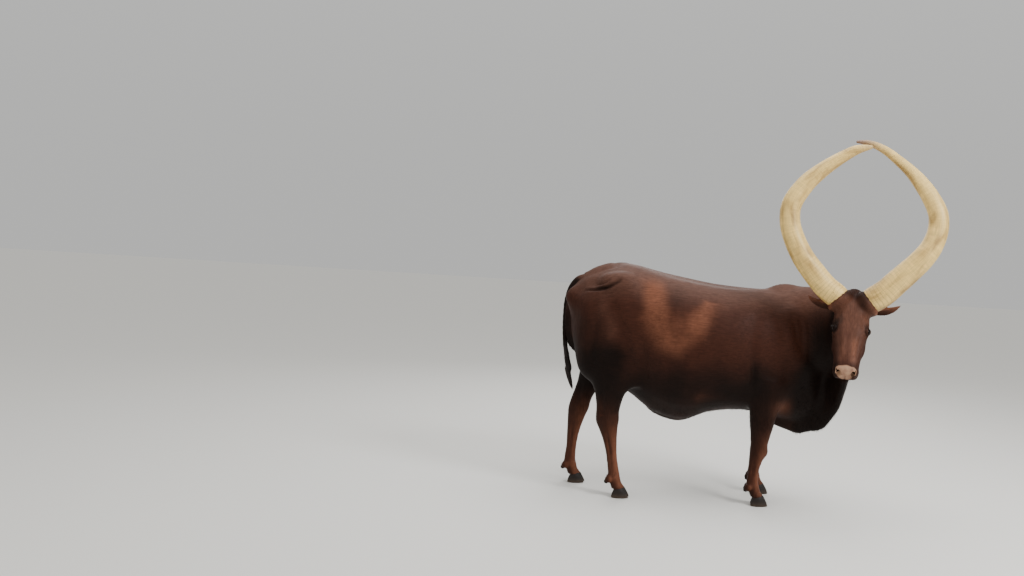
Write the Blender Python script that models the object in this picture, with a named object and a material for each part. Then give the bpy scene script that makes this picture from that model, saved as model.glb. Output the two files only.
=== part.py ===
"""Life-size standing Ankole-Watusi bull with its head turned to its right, in metres, +Z up.

+X is the way the body faces and +Y is the animal's left side. The flesh is modelled whole from oval tubes
and muscle masses, fused into one surface, and parted with thin cuts into the pieces that a person would name.
"""

import math

import bmesh
import bpy
from mathutils import Matrix, Vector
from mathutils.bvhtree import BVHTree

# Gap that touching pieces keep, and how finely the flesh is fused
GAP = 0.0003
BODY_VOXEL = 0.011
HEAD_VOXEL = 0.0045
BODY_TRIANGLES = 4800
HEAD_TRIANGLES = 2200

# Heights of the cuts that part the legs from the trunk, and how far apart the feet stand
FORELEG_CUT = 0.465
HIND_LEG_CUT = 0.575
STANCE = 0.152

# The two claws of a foot: how far apart their middles are, and how far ahead of the foot they sit
CLAW_APART = 0.047
CLAW_AHEAD = 0.012

# The head: where the poll is, how it is turned, and where the eyes sit in it
POLL = Vector((0.862, -0.400, 1.325))
HEAD_TURN = math.radians(-96.5)
HEAD_ROLL = math.radians(-4.0)
FACE_SLOPE = math.radians(53.0)
EYE_RADIUS = 0.0195
EYE_ALONG = 0.226
EYE_OUT = 0.0915
EYE_DEPTH = -0.045
LID_THICKNESS = 0.0052

# Rings and sides of each horn
HORN_RINGS = 34
HORN_SIDES = 14

# Where each foot stands along the body, and where each stifle is along it and above the floor
FOOT_X = {
    ("front", "right"): 0.383,
    ("front", "left"): 0.398,
    ("hind", "right"): -0.455,
    ("hind", "left"): -0.768,
}
STIFLE = {"right": (-0.470, 0.785), "left": (-0.550, 0.825)}

SIDES = {"right": -1.0, "left": 1.0}
UP = Vector((0, 0, 1))
AHEAD = Vector((1, 0, 0))


def clear_scene():
    """Removes whatever the scene holds at the start."""
    for found in list(bpy.data.objects):
        bpy.data.objects.remove(found)


def finish(name, colour, roughness):
    """A Principled material."""
    material = bpy.data.materials.new(name)
    material.use_nodes = True
    shader = material.node_tree.nodes["Principled BSDF"]
    shader.inputs["Base Color"].default_value = (*colour, 1.0)
    shader.inputs["Roughness"].default_value = roughness
    return material


def object_of(name, body, material=None):
    """A named object for a bmesh."""
    mesh = bpy.data.meshes.new(name)
    body.to_mesh(mesh)
    body.free()
    made = bpy.data.objects.new(name, mesh)
    bpy.context.scene.collection.objects.link(made)
    if material:
        mesh.materials.append(material)
    return made


def between(rows, t):
    """The row of numbers at t on a smooth curve through the rows; t runs from 0 to the last row."""
    last = len(rows) - 1
    i = min(int(t), last - 1)
    f = t - i
    before, start, end, after = (rows[min(max(k, 0), last)] for k in (i - 1, i, i + 1, i + 2))
    return [
        0.5 * (2 * b + (c - a) * f + (2 * a - 5 * b + 4 * c - d) * f * f + (3 * b - a - 3 * c + d) * f ** 3)
        for a, b, c, d in zip(before, start, end, after)
    ]


def stations_along(rows, count):
    """The rows at evenly spaced steps along the curve through them."""
    return [between(rows, (len(rows) - 1) * k / count) for k in range(count + 1)]


def skin_rings(body, rings, ends):
    """Faces between neighbouring rings of vertices, closed at both ends round a middle point."""
    sides = len(rings[0])
    for low, high in zip(rings, rings[1:]):
        for n in range(sides):
            m = (n + 1) % sides
            body.faces.new((low[n], low[m], high[m], high[n]))
    for ring, end in ((rings[0], ends[0]), (rings[-1], ends[1])):
        pole = body.verts.new(end)
        for n in range(sides):
            body.faces.new((ring[n], ring[(n + 1) % sides], pole))
    bmesh.ops.recalc_face_normals(body, faces=body.faces)
    return body


def tube(rows, facing, run=None, sides=24, steps=3, squareness=2.0):
    """A closed tube through oval rings: x, y, z, half width, reach towards facing, reach away from it.

    The rings stand square to run, or to the run's level direction if run is "level", or to the curve.
    """
    stations = stations_along(rows, (len(rows) - 1) * steps)
    centres = [Vector(s[:3]) for s in stations]
    body = bmesh.new()
    rings = []
    for k, (x, y, z, wide, ahead, behind) in enumerate(stations):
        along = centres[min(k + 1, len(centres) - 1)] - centres[max(k - 1, 0)]
        if run == "level":
            along.z = 0.0
        elif run:
            along = run.copy()
        along.normalize()
        up = (facing - along * facing.dot(along)).normalized()
        across = up.cross(along)
        ring = []
        for n in range(sides):
            angle = 2 * math.pi * n / sides
            c = math.copysign(abs(math.cos(angle)) ** (2 / squareness), math.cos(angle))
            s = math.copysign(abs(math.sin(angle)) ** (2 / squareness), math.sin(angle))
            reach = ahead if s > 0 else behind
            ring.append(body.verts.new(centres[k] + across * wide * c + up * reach * s))
        rings.append(ring)
    return skin_rings(body, rings, (centres[0], centres[-1]))


def ball(centre, radii, turn=0.0, axis="Y", detail=3):
    """An ellipsoid: a muscle, a pad of fat or a knob of bone."""
    body = bmesh.new()
    bmesh.ops.create_icosphere(body, subdivisions=detail, radius=1.0)
    turned = Matrix.Rotation(turn, 4, axis) @ Matrix.Diagonal((*radii, 1.0))
    body.transform(Matrix.Translation(centre) @ turned)
    return body


def gather(name, pieces):
    """One object that holds several overlapping closed pieces."""
    whole = bmesh.new()
    for piece in pieces:
        mesh = bpy.data.meshes.new("piece")
        piece.to_mesh(mesh)
        piece.free()
        whole.from_mesh(mesh)
        bpy.data.meshes.remove(mesh)
    return object_of(name, whole)


def applied(made):
    """The object with its modifiers applied."""
    graph = bpy.context.evaluated_depsgraph_get()
    mesh = bpy.data.meshes.new_from_object(made.evaluated_get(graph))
    made.modifiers.clear()
    made.data = mesh
    return made


def relax(made, factor, rounds, group=""):
    """Adds a smoothing modifier."""
    smooth = made.modifiers.new("Relax", "SMOOTH")
    smooth.factor = factor
    smooth.iterations = rounds
    smooth.vertex_group = group


def fuse(name, pieces, voxel, triangles, blend=0, above=0.0):
    """The pieces as one smooth closed surface of about so many triangles, blended more above a height."""
    whole = gather(name, pieces)
    skin = whole.modifiers.new("Fuse", "REMESH")
    skin.mode = "VOXEL"
    skin.voxel_size = voxel
    applied(whole)
    trunk = whole.vertex_groups.new(name="trunk")
    for vert in whole.data.vertices:
        trunk.add([vert.index], min(max((vert.co.z - above) / 0.12, 0.0), 1.0), "REPLACE")
    if blend:
        relax(whole, 0.5, blend, "trunk")
    for n in range(3):
        relax(whole, 0.6, 1)
        relax(whole, -0.61, 1)
    relax(whole, 0.4, 1)
    applied(whole)
    thin = whole.modifiers.new("Thin", "DECIMATE")
    thin.ratio = triangles / (2 * len(whole.data.polygons))
    thin.use_collapse_triangulate = True
    applied(whole)
    whole.vertex_groups.clear()
    return whole


def block(centre, sizes, turn=None):
    """A box, used as a cutter."""
    body = bmesh.new()
    bmesh.ops.create_cube(body, size=1.0)
    turned = turn or Matrix.Identity(4)
    body.transform(Matrix.Translation(centre) @ turned @ Matrix.Diagonal((*sizes, 1.0)))
    return object_of("cutter", body)


def boolean(made, other, operation):
    """Applies one Boolean and removes its operand."""
    cut = made.modifiers.new("Cut", "BOOLEAN")
    cut.operation = operation
    cut.object = other
    cut.solver = "EXACT"
    applied(made)
    bpy.data.objects.remove(other)
    return made


def copy_of(made):
    """An object's mesh as a new bmesh."""
    body = bmesh.new()
    body.from_mesh(made.data)
    return body


def grown(made, by):
    """A copy of an object, pushed out along its normals."""
    body = copy_of(made)
    body.normal_update()
    for vert in body.verts:
        vert.co += vert.normal * by * min(vert.calc_shell_factor(), 1.5)
    return object_of(made.name + "_grown", body)


def seated(made, others, gap=GAP):
    """Cuts a seat for each of the others out of an object, with a gap all round."""
    for other in others:
        boolean(made, grown(other, gap), "DIFFERENCE")
    return made


def bodies_of(made):
    """The closed surfaces of an object, each as a bmesh, largest first."""
    whole = copy_of(made)
    bmesh.ops.remove_doubles(whole, verts=whole.verts, dist=1e-6)
    # two faces on the same corners are a flap of no thickness, and both go
    seen = {}
    for face in whole.faces:
        seen.setdefault(frozenset(v.index for v in face.verts), []).append(face)
    flaps = [face for faces in seen.values() if len(faces) > 1 for face in faces]
    bmesh.ops.delete(whole, geom=flaps, context="FACES")
    left = set(whole.faces)
    bodies = []
    for seed in list(whole.faces):
        if seed not in left:
            continue
        left.remove(seed)
        stack = [seed]
        group = []
        while stack:
            face = stack.pop()
            group.append(face)
            for edge in face.edges:
                for near in edge.link_faces:
                    if near in left:
                        left.remove(near)
                        stack.append(near)
        body = bmesh.new()
        copies = {}
        for face in group:
            for vert in face.verts:
                if vert not in copies:
                    copies[vert] = body.verts.new(vert.co)
            body.faces.new([copies[v] for v in face.verts])
        bmesh.ops.recalc_face_normals(body, faces=body.faces)
        bodies.append(body)
    whole.free()
    return sorted(bodies, key=lambda b: -abs(b.calc_volume()))


def parted(made, cuts):
    """Parts an object with thin slabs; the bodies come back largest first."""
    for cut in cuts:
        boolean(made, cut, "DIFFERENCE")
    bodies = bodies_of(made)
    bpy.data.objects.remove(made)
    return bodies


def middle_of(body):
    """The mean position of a bmesh's vertices."""
    return sum((v.co for v in body.verts), Vector()) / len(body.verts)


def level_frame():
    """The head's upright frame at the poll: +X the way the face looks, +Y the animal's left, +Z up."""
    return Matrix.Translation(POLL) @ Matrix.Rotation(HEAD_TURN, 4, "Z") @ Matrix.Rotation(HEAD_ROLL, 4, "X")


def head_frame():
    """The skull's frame at the poll: +X down the face to the muzzle, +Y the left, +Z out of the forehead."""
    return level_frame() @ Matrix.Rotation(FACE_SLOPE, 4, "Y")


def trunk_pieces():
    """Barrel, rump, thighs, shoulders and the bones that show."""
    # x, height of the top line, height of the under line, half width, share of the depth below the widest
    sections = [
        (-0.850, 1.140, 0.990, 0.060, 0.50),
        (-0.830, 1.200, 0.900, 0.110, 0.50),
        (-0.790, 1.270, 0.810, 0.165, 0.52),
        (-0.720, 1.322, 0.735, 0.210, 0.54),
        (-0.640, 1.360, 0.690, 0.235, 0.56),
        (-0.560, 1.392, 0.660, 0.248, 0.57),
        (-0.480, 1.408, 0.635, 0.258, 0.57),
        (-0.400, 1.396, 0.602, 0.275, 0.55),
        (-0.300, 1.372, 0.550, 0.308, 0.50),
        (-0.200, 1.352, 0.514, 0.334, 0.48),
        (-0.080, 1.333, 0.500, 0.345, 0.47),
        (0.050, 1.314, 0.525, 0.340, 0.47),
        (0.200, 1.304, 0.548, 0.318, 0.47),
        (0.330, 1.302, 0.545, 0.285, 0.47),
        (0.440, 1.306, 0.520, 0.250, 0.47),
        (0.540, 1.320, 0.500, 0.215, 0.47),
        (0.640, 1.270, 0.500, 0.180, 0.46),
        (0.720, 1.150, 0.560, 0.130, 0.45),
        (0.765, 1.030, 0.680, 0.065, 0.45),
    ]
    rows = []
    for x, top, under, wide, low in sections:
        middle = under + (top - under) * low
        rows.append((x, 0.0, middle, wide, top - middle, middle - under))
    pieces = [tube(rows, UP, AHEAD, sides=36, steps=2, squareness=2.15)]
    for word, side in SIDES.items():
        knee_x, knee_z = STIFLE[word]
        pieces += [
            # thigh and buttock
            ball((-0.590, side * 0.150, 0.965), (0.215, 0.112, 0.300)),
            ball((-0.705, side * 0.115, 0.985), (0.120, 0.090, 0.225)),
            # hook bone and pin bone
            ball((-0.490, side * 0.150, 1.275), (0.160, 0.080, 0.080), 0.12),
            ball((-0.770, side * 0.085, 1.175), (0.080, 0.055, 0.090)),
            # stifle, and the fold of skin from it to the flank
            ball((knee_x, side * 0.190, knee_z), (0.108, 0.075, 0.165)),
            ball((knee_x + 0.085, side * 0.210, knee_z - 0.005), (0.090, 0.035, 0.120), 0.35),
            # shoulder blade, point of the shoulder and upper arm
            ball((0.470, side * 0.148, 0.960), (0.160, 0.092, 0.270), 0.25),
            ball((0.590, side * 0.130, 0.860), (0.125, 0.085, 0.160)),
            ball((0.410, side * 0.175, 0.740), (0.135, 0.085, 0.180)),
        ]
    # the low hump at the withers, and the fold of skin under the belly
    pieces.append(ball((0.500, 0.0, 1.262), (0.150, 0.070, 0.085)))
    pieces.append(tube([
        (-0.330, 0.0, 0.560, 0.030, 0.060, 0.030),
        (-0.250, 0.0, 0.530, 0.042, 0.060, 0.040),
        (-0.130, 0.0, 0.515, 0.052, 0.060, 0.048),
        (-0.040, 0.0, 0.520, 0.044, 0.060, 0.034),
        (0.020, 0.0, 0.540, 0.030, 0.060, 0.028),
    ], UP, AHEAD, sides=16))
    return pieces


def neck_pieces():
    """The neck bends round to the right, and the dewlap hangs from it down to the brisket."""
    neck = [
        (0.400, 0.000, 1.000, 0.180, 0.290, 0.300),
        (0.560, -0.010, 1.030, 0.185, 0.300, 0.330),
        (0.700, -0.070, 1.060, 0.155, 0.275, 0.300),
        (0.795, -0.165, 1.090, 0.125, 0.235, 0.240),
        (0.845, -0.270, 1.115, 0.110, 0.200, 0.190),
        (0.862, -0.360, 1.140, 0.100, 0.165, 0.150),
        (0.862, -0.430, 1.140, 0.080, 0.110, 0.110),
    ]
    dewlap = [
        (0.400, 0.000, 0.610, 0.060, 0.080, 0.120),
        (0.500, 0.000, 0.620, 0.075, 0.150, 0.168),
        (0.600, 0.000, 0.650, 0.070, 0.200, 0.228),
        (0.700, -0.020, 0.690, 0.060, 0.200, 0.262),
        (0.775, -0.065, 0.740, 0.052, 0.190, 0.265),
        (0.822, -0.135, 0.800, 0.046, 0.170, 0.245),
        (0.845, -0.220, 0.870, 0.040, 0.140, 0.200),
        (0.852, -0.310, 0.930, 0.036, 0.110, 0.150),
        (0.850, -0.400, 0.980, 0.030, 0.070, 0.090),
    ]
    return [
        tube(neck, UP, "level", sides=28, squareness=2.1),
        tube(dewlap, UP, "level", sides=20),
    ]


def leg(rows, side):
    """A leg down to the coronet: x, distance out, z, half width, reach ahead, reach behind."""
    return tube([(x, side * y, z, w, a, b) for x, y, z, w, a, b in rows], AHEAD, UP)


def pastern(x):
    """The last rows of any leg, from the lower cannon to inside the claws."""
    return [
        (x - 0.027, STANCE, 0.150, 0.032, 0.036, 0.040),
        (x - 0.024, STANCE, 0.112, 0.040, 0.041, 0.046),
        (x - 0.012, STANCE, 0.084, 0.038, 0.038, 0.040),
        (x + 0.000, STANCE, 0.060, 0.044, 0.045, 0.044),
        (x + 0.004, STANCE, 0.046, 0.040, 0.040, 0.040),
    ]


def leg_pieces():
    """All four legs; the near hind leg stands forward and the far one back."""
    pieces = []
    for word, side in SIDES.items():
        foot = FOOT_X["front", word]
        fore = [
            (foot + 0.018, 0.185, 0.800, 0.075, 0.120, 0.120),
            (foot + 0.016, 0.185, 0.640, 0.070, 0.100, 0.100),
            (foot + 0.010, 0.176, 0.540, 0.062, 0.083, 0.086),
            (foot + 0.004, 0.166, 0.440, 0.049, 0.066, 0.068),
            (foot - 0.002, 0.159, 0.370, 0.044, 0.056, 0.056),
            (foot - 0.007, 0.155, 0.318, 0.048, 0.060, 0.052),
            (foot - 0.018, 0.153, 0.268, 0.038, 0.044, 0.044),
            (foot - 0.025, 0.152, 0.205, 0.030, 0.036, 0.038),
        ]
        pieces.append(leg(fore + pastern(foot), side))
    foot = FOOT_X["hind", "right"]
    near = [
        (foot - 0.065, 0.160, 0.900, 0.095, 0.150, 0.190),
        (foot - 0.060, 0.180, 0.740, 0.078, 0.125, 0.150),
        (foot - 0.072, 0.176, 0.630, 0.062, 0.092, 0.098),
        (foot - 0.080, 0.168, 0.560, 0.052, 0.078, 0.078),
        (foot - 0.082, 0.160, 0.500, 0.046, 0.070, 0.076),
        (foot - 0.078, 0.156, 0.455, 0.046, 0.064, 0.080),
        (foot - 0.070, 0.153, 0.400, 0.040, 0.054, 0.062),
        (foot - 0.060, 0.152, 0.330, 0.032, 0.044, 0.044),
        (foot - 0.045, 0.152, 0.240, 0.029, 0.036, 0.036),
    ]
    pieces.append(leg(near + pastern(foot), SIDES["right"]))
    foot = FOOT_X["hind", "left"]
    far = [
        (foot + 0.155, 0.160, 0.900, 0.095, 0.160, 0.180),
        (foot + 0.125, 0.180, 0.760, 0.078, 0.150, 0.130),
        (foot + 0.070, 0.176, 0.650, 0.060, 0.108, 0.082),
        (foot + 0.033, 0.168, 0.580, 0.050, 0.082, 0.064),
        (foot + 0.012, 0.160, 0.515, 0.046, 0.074, 0.064),
        (foot + 0.003, 0.156, 0.465, 0.046, 0.068, 0.064),
        (foot - 0.008, 0.153, 0.400, 0.040, 0.058, 0.052),
        (foot - 0.017, 0.152, 0.320, 0.032, 0.042, 0.042),
        (foot - 0.023, 0.152, 0.230, 0.029, 0.035, 0.036),
    ]
    pieces.append(leg(far + pastern(foot), SIDES["left"]))
    return pieces


def head_pieces():
    """Skull, jaw, cheeks, brows, lids, muzzle, lips and chin, set in place from the skull's own frame."""
    # distance down the face, 0, height of the middle, half width, reach up, reach down
    skull = [
        (-0.045, 0.0, -0.085, 0.050, 0.045, 0.050),
        (-0.020, 0.0, -0.080, 0.074, 0.070, 0.075),
        (0.030, 0.0, -0.075, 0.090, 0.078, 0.090),
        (0.100, 0.0, -0.075, 0.101, 0.085, 0.105),
        (0.165, 0.0, -0.078, 0.106, 0.088, 0.115),
        (0.225, 0.0, -0.080, 0.104, 0.083, 0.110),
        (0.285, 0.0, -0.082, 0.095, 0.076, 0.095),
        (0.345, 0.0, -0.084, 0.085, 0.070, 0.075),
        (0.405, 0.0, -0.085, 0.077, 0.063, 0.062),
        (0.455, 0.0, -0.087, 0.073, 0.056, 0.055),
        (0.490, 0.0, -0.089, 0.066, 0.047, 0.047),
        (0.510, 0.0, -0.092, 0.044, 0.031, 0.032),
    ]
    jaw = [
        (0.090, 0.0, -0.170, 0.050, 0.050, 0.036),
        (0.150, 0.0, -0.178, 0.068, 0.060, 0.050),
        (0.220, 0.0, -0.170, 0.066, 0.060, 0.046),
        (0.300, 0.0, -0.156, 0.054, 0.050, 0.034),
        (0.380, 0.0, -0.144, 0.046, 0.040, 0.026),
        (0.440, 0.0, -0.137, 0.044, 0.032, 0.024),
        (0.482, 0.0, -0.133, 0.036, 0.024, 0.020),
    ]
    pieces = [tube(skull, UP, AHEAD, squareness=2.35), tube(jaw, UP, AHEAD)]
    # the ridge of the poll, the nose pad and the chin
    pieces.append(ball((0.000, 0.0, -0.034), (0.050, 0.055, 0.032)))
    pieces.append(ball((0.476, 0.0, -0.086), (0.036, 0.066, 0.046)))
    pieces.append(ball((0.464, 0.0, -0.138), (0.034, 0.040, 0.020)))
    for side in SIDES.values():
        pieces += [
            # horn root, cheek muscle, brow, orbit, cheek bone, upper lip, nostril wing and eyelids
            ball((0.045, side * 0.070, -0.062), (0.066, 0.045, 0.050)),
            ball((0.185, side * 0.064, -0.140), (0.085, 0.036, 0.082)),
            ball((EYE_ALONG - 0.024, side * 0.075, -0.034), (0.070, 0.029, 0.027)),
            ball((EYE_ALONG + 0.004, side * 0.077, -0.052), (0.056, 0.030, 0.040)),
            ball((EYE_ALONG + 0.060, side * 0.072, -0.084), (0.110, 0.023, 0.026)),
            ball((0.458, side * 0.046, -0.108), (0.052, 0.031, 0.037)),
            ball((0.474, side * 0.041, -0.070), (0.040, 0.029, 0.025)),
            ball((EYE_ALONG, side * EYE_OUT, EYE_DEPTH), (EYE_RADIUS + LID_THICKNESS,) * 3),
        ]
    for piece in pieces:
        piece.transform(head_frame())
    # collars of skin round the roots of the horns
    for side in SIDES.values():
        collar = [
            (-0.020, side * 0.015, -0.110, 0.045, 0.045, 0.045),
            (-0.008, side * 0.050, -0.080, 0.072, 0.072, 0.072),
            (-0.002, side * 0.080, -0.054, 0.086, 0.086, 0.086),
            (-0.001, side * 0.092, -0.043, 0.080, 0.080, 0.080),
        ]
        piece = tube(collar, AHEAD, sides=20)
        piece.transform(level_frame())
        pieces.append(piece)
    return pieces


def eye(side):
    """An eyeball with the clear bulge of its cornea."""
    body = bmesh.new()
    bmesh.ops.create_uvsphere(body, u_segments=14, v_segments=8, radius=EYE_RADIUS)
    body.transform(head_frame() @ Matrix.Translation((EYE_ALONG, side * EYE_OUT, EYE_DEPTH)))
    return body


def lid_opening(side):
    """The almond-shaped gap between the lids, turned out and a little forward, its inner corner lower."""
    gaze = Vector((0.05, side * 0.90, 0.42)).normalized()
    corner = Vector((1.0, 0.0, -0.25))
    corner = (corner - gaze * corner.dot(gaze)).normalized()
    turn = Matrix((corner, gaze, corner.cross(gaze))).transposed().to_4x4()
    centre = Vector((EYE_ALONG, side * EYE_OUT, EYE_DEPTH)) + gaze * 0.024
    body = ball((0, 0, 0), (0.0180, 0.020, 0.0105), detail=2)
    body.transform(head_frame() @ Matrix.Translation(centre) @ turn)
    return object_of("lid_opening", body)


def nostril(side):
    """A slanting pit with a curled upper end."""
    body = ball((0, 0, 0), (0.022, 0.0095, 0.0145), side * -0.6, "X", 2)
    body.transform(head_frame() @ Matrix.Translation((0.508, side * 0.038, -0.072)))
    return object_of("nostril", body)


def mouth_groove(head):
    """A thin groove that follows the surface of the muzzle between the lips."""
    surface = BVHTree.FromObject(head, bpy.context.evaluated_depsgraph_get())
    frame = head_frame()
    rows = []
    for k in range(-9, 10):
        angle = k / 9 * math.radians(148)
        inside = Vector((0.420, 0.0, -0.1215 - 0.003 * math.cos(angle * 2)))
        direction = Vector((math.cos(angle / 1.55), math.sin(angle / 1.55), 0.0))
        hit = surface.ray_cast(frame @ (inside + direction * 0.2), frame.to_3x3() @ -direction)[0]
        depth = 0.0032 if abs(k) < 9 else 0.0012
        rows.append((*hit, depth, depth, depth))
    body = tube(rows, frame.to_3x3() @ UP, sides=6, steps=2)
    return object_of("mouth_groove", body)


def ear(side):
    """A leaf-shaped ear: its cross-section is a crescent that opens from the root to the tip."""
    # share of the length, half width, how far the crescent curls, thickness
    leaf = [
        (0.00, 0.016, 2.30, 0.011),
        (0.12, 0.021, 2.20, 0.010),
        (0.26, 0.032, 1.60, 0.008),
        (0.42, 0.041, 1.25, 0.0065),
        (0.60, 0.043, 1.05, 0.0055),
        (0.78, 0.034, 0.95, 0.0050),
        (0.91, 0.020, 0.90, 0.0045),
        (1.00, 0.006, 0.80, 0.0040),
    ]
    length = 0.185
    steps = 5
    root = Vector((0.030, side * 0.088, -0.095))
    outward = Vector((-0.05, side * 0.95, 0.12 if side < 0 else 0.20)).normalized()
    opening = Vector((0.75, side * 0.15, -0.15))
    opening = (opening - outward * opening.dot(outward)).normalized()
    across = outward.cross(opening)
    body = bmesh.new()
    rings = []
    for share, wide, curl, thick in stations_along(leaf, 10):
        centre = root + outward * length * share + opening * (0.020 * share - 0.030 * share ** 3)
        radius = wide / math.sin(min(curl, math.pi / 2))
        ring = []
        for layer, order in ((0.5, range(-steps, steps + 1)), (-0.5, range(steps, -steps - 1, -1))):
            for n in order:
                angle = curl * n / steps
                shell = radius + layer * thick * (1.0 - 0.5 * (n / steps) ** 2)
                sunk = shell * math.cos(angle) - radius
                ring.append(centre + across * shell * math.sin(angle) - opening * sunk)
        rings.append([body.verts.new(point) for point in ring])
    for low, high in zip(rings, rings[1:]):
        for n in range(len(low)):
            m = (n + 1) % len(low)
            body.faces.new((low[n], low[m], high[m], high[n]))
    for ring in (rings[0], rings[-1]):
        for n in range(2 * steps):
            m = 4 * steps + 1 - n
            body.faces.new((ring[n], ring[n + 1], ring[m - 1], ring[m]))
    bmesh.ops.recalc_face_normals(body, faces=body.faces)
    body.transform(head_frame())
    return body


def horn(side):
    """One horn, ridged near its root. Rows are out, up and back from the poll, and the radius there."""
    rows = {
        -1.0: [
            (0.045, -0.078, 0.000, 0.046),
            (0.094, -0.039, 0.000, 0.070),
            (0.167, 0.006, 0.004, 0.0695),
            (0.252, 0.085, 0.008, 0.068),
            (0.328, 0.169, 0.012, 0.065),
            (0.389, 0.266, 0.016, 0.062),
            (0.424, 0.356, 0.020, 0.060),
            (0.426, 0.460, 0.031, 0.059),
            (0.366, 0.579, 0.050, 0.054),
            (0.285, 0.670, 0.062, 0.045),
            (0.190, 0.752, 0.068, 0.036),
            (0.100, 0.814, 0.073, 0.028),
            (0.014, 0.842, 0.080, 0.010),
        ],
        1.0: [
            (0.045, -0.082, 0.000, 0.048),
            (0.092, -0.039, 0.000, 0.074),
            (0.161, 0.017, -0.008, 0.074),
            (0.217, 0.082, -0.015, 0.0725),
            (0.281, 0.157, -0.022, 0.070),
            (0.341, 0.233, -0.030, 0.066),
            (0.387, 0.312, -0.016, 0.062),
            (0.411, 0.405, 0.002, 0.059),
            (0.401, 0.502, 0.018, 0.0565),
            (0.348, 0.594, 0.046, 0.051),
            (0.285, 0.670, 0.074, 0.0445),
            (0.223, 0.730, 0.100, 0.036),
            (0.145, 0.786, 0.111, 0.0295),
            (0.060, 0.838, 0.124, 0.0240),
            (-0.030, 0.868, 0.139, 0.0180),
            (-0.105, 0.870, 0.151, 0.0080),
        ],
    }[side]
    stations = stations_along(rows, HORN_RINGS)
    centres = [level_frame() @ Vector((-back, side * out, up)) for out, up, back, _ in stations]
    body = bmesh.new()
    rings = []
    across = Vector((0, 1, 0))
    for k, (_, _, _, radius) in enumerate(stations):
        along = (centres[min(k + 1, HORN_RINGS)] - centres[max(k - 1, 0)]).normalized()
        across = (across - along * across.dot(along)).normalized()
        other = along.cross(across)
        ridge = 1.0 + (0.016 * (-1) ** k if 2 < k < 10 else 0.0)
        ring = []
        for n in range(HORN_SIDES):
            angle = 2 * math.pi * n / HORN_SIDES
            turn = across * math.cos(angle) + other * math.sin(angle)
            ring.append(body.verts.new(centres[k] + turn * radius * ridge))
        rings.append(ring)
    tip = centres[-1] + (centres[-1] - centres[-2]).normalized() * stations[-1][3] * 0.8
    return skin_rings(body, rings, (centres[0], tip))


def claw(x, y, inner):
    """One claw with a flat sole; inner is the side on which its fellow stands."""
    # height, toe, heel, half width at that height, measured from the middle of the sole
    layers = [
        (0.000, 0.058, -0.046, 0.0215),
        (0.006, 0.059, -0.048, 0.0225),
        (0.024, 0.048, -0.044, 0.0215),
        (0.042, 0.036, -0.039, 0.0190),
        (0.056, 0.024, -0.030, 0.0150),
    ]
    body = bmesh.new()
    rings = []
    for height, toe, heel, wide in layers:
        ring = []
        for n in range(14):
            angle = 2 * math.pi * n / 14
            s, c = math.sin(angle), math.cos(angle)
            reach = toe if c > 0 else -heel
            out = s * wide * (1.0 - 0.35 * max(c, 0.0) ** 2)
            if s < 0:
                out *= 0.86
            lean = 0.004 * max(c, 0.0)
            lift = height * (1.0 + 0.12 * c)
            ring.append(body.verts.new((x + c * reach, y + inner * (lean - out), lift)))
        rings.append(ring)
    for low, high in zip(rings, rings[1:]):
        for n in range(14):
            m = (n + 1) % 14
            body.faces.new((low[n], low[m], high[m], high[n]))
    body.faces.new(rings[0])
    body.faces.new(rings[-1])
    bmesh.ops.recalc_face_normals(body, faces=body.faces)
    return body


def dewclaw(x, y):
    """A small blunt horny knob behind the fetlock."""
    return ball((x - 0.068, y, 0.096), (0.017, 0.011, 0.013), 0.7, "Y", 2)


def tail():
    """The tail bends over the tail head and hangs down, its end a little forward."""
    rows = [
        (-0.700, 0.000, 1.290, 0.040, 0.030, 0.030),
        (-0.770, 0.000, 1.278, 0.034, 0.028, 0.028),
        (-0.815, 0.000, 1.235, 0.028, 0.025, 0.025),
        (-0.838, 0.000, 1.170, 0.022, 0.021, 0.021),
        (-0.846, -0.004, 1.080, 0.018, 0.018, 0.018),
        (-0.846, -0.010, 0.980, 0.015, 0.016, 0.016),
        (-0.838, -0.014, 0.880, 0.013, 0.013, 0.013),
        (-0.820, -0.016, 0.790, 0.011, 0.011, 0.011),
        (-0.806, -0.017, 0.740, 0.008, 0.008, 0.008),
    ]
    return tube(rows, Vector((-0.6, 0.0, 0.8)), sides=12, steps=2)


def tail_tuft(bone):
    """Tapered locks that grow from the last third of the tail and close to one point."""
    # share of the length, how far the lock stands out there, and its thickness
    profile = [(0.0, 0.006, 0.006), (0.25, 0.012, 0.010), (0.6, 0.012, 0.009), (1.0, 0.004, 0.002)]
    locks = []
    for n in range(9):
        angle = 2 * math.pi * n / 9
        start = 0.875 - 0.018 * (n % 3)
        foot = 0.605 + 0.016 * (n * 4 % 9) / 2
        out = Vector((math.cos(angle), math.sin(angle), 0.0))
        rows = []
        for t, swell, thick in profile:
            z = start + (foot - start) * t
            bend = (0.880 - z) / 0.275
            middle = Vector((-0.838 + 0.020 * bend + 0.042 * bend ** 2, -0.014 - 0.006 * bend, z))
            rows.append((*(middle + out * swell), thick, thick, thick))
        locks.append(tube(rows, out, sides=6, steps=1))
    tuft = gather("tail_tuft", locks)
    skin = tuft.modifiers.new("Fuse", "REMESH")
    skin.mode = "VOXEL"
    skin.voxel_size = 0.003
    applied(tuft)
    relax(tuft, 0.5, 2)
    applied(tuft)
    thin = tuft.modifiers.new("Thin", "DECIMATE")
    thin.ratio = 460 / (2 * len(tuft.data.polygons))
    thin.use_collapse_triangulate = True
    applied(tuft)
    seated(tuft, [bone])
    return tuft


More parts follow.
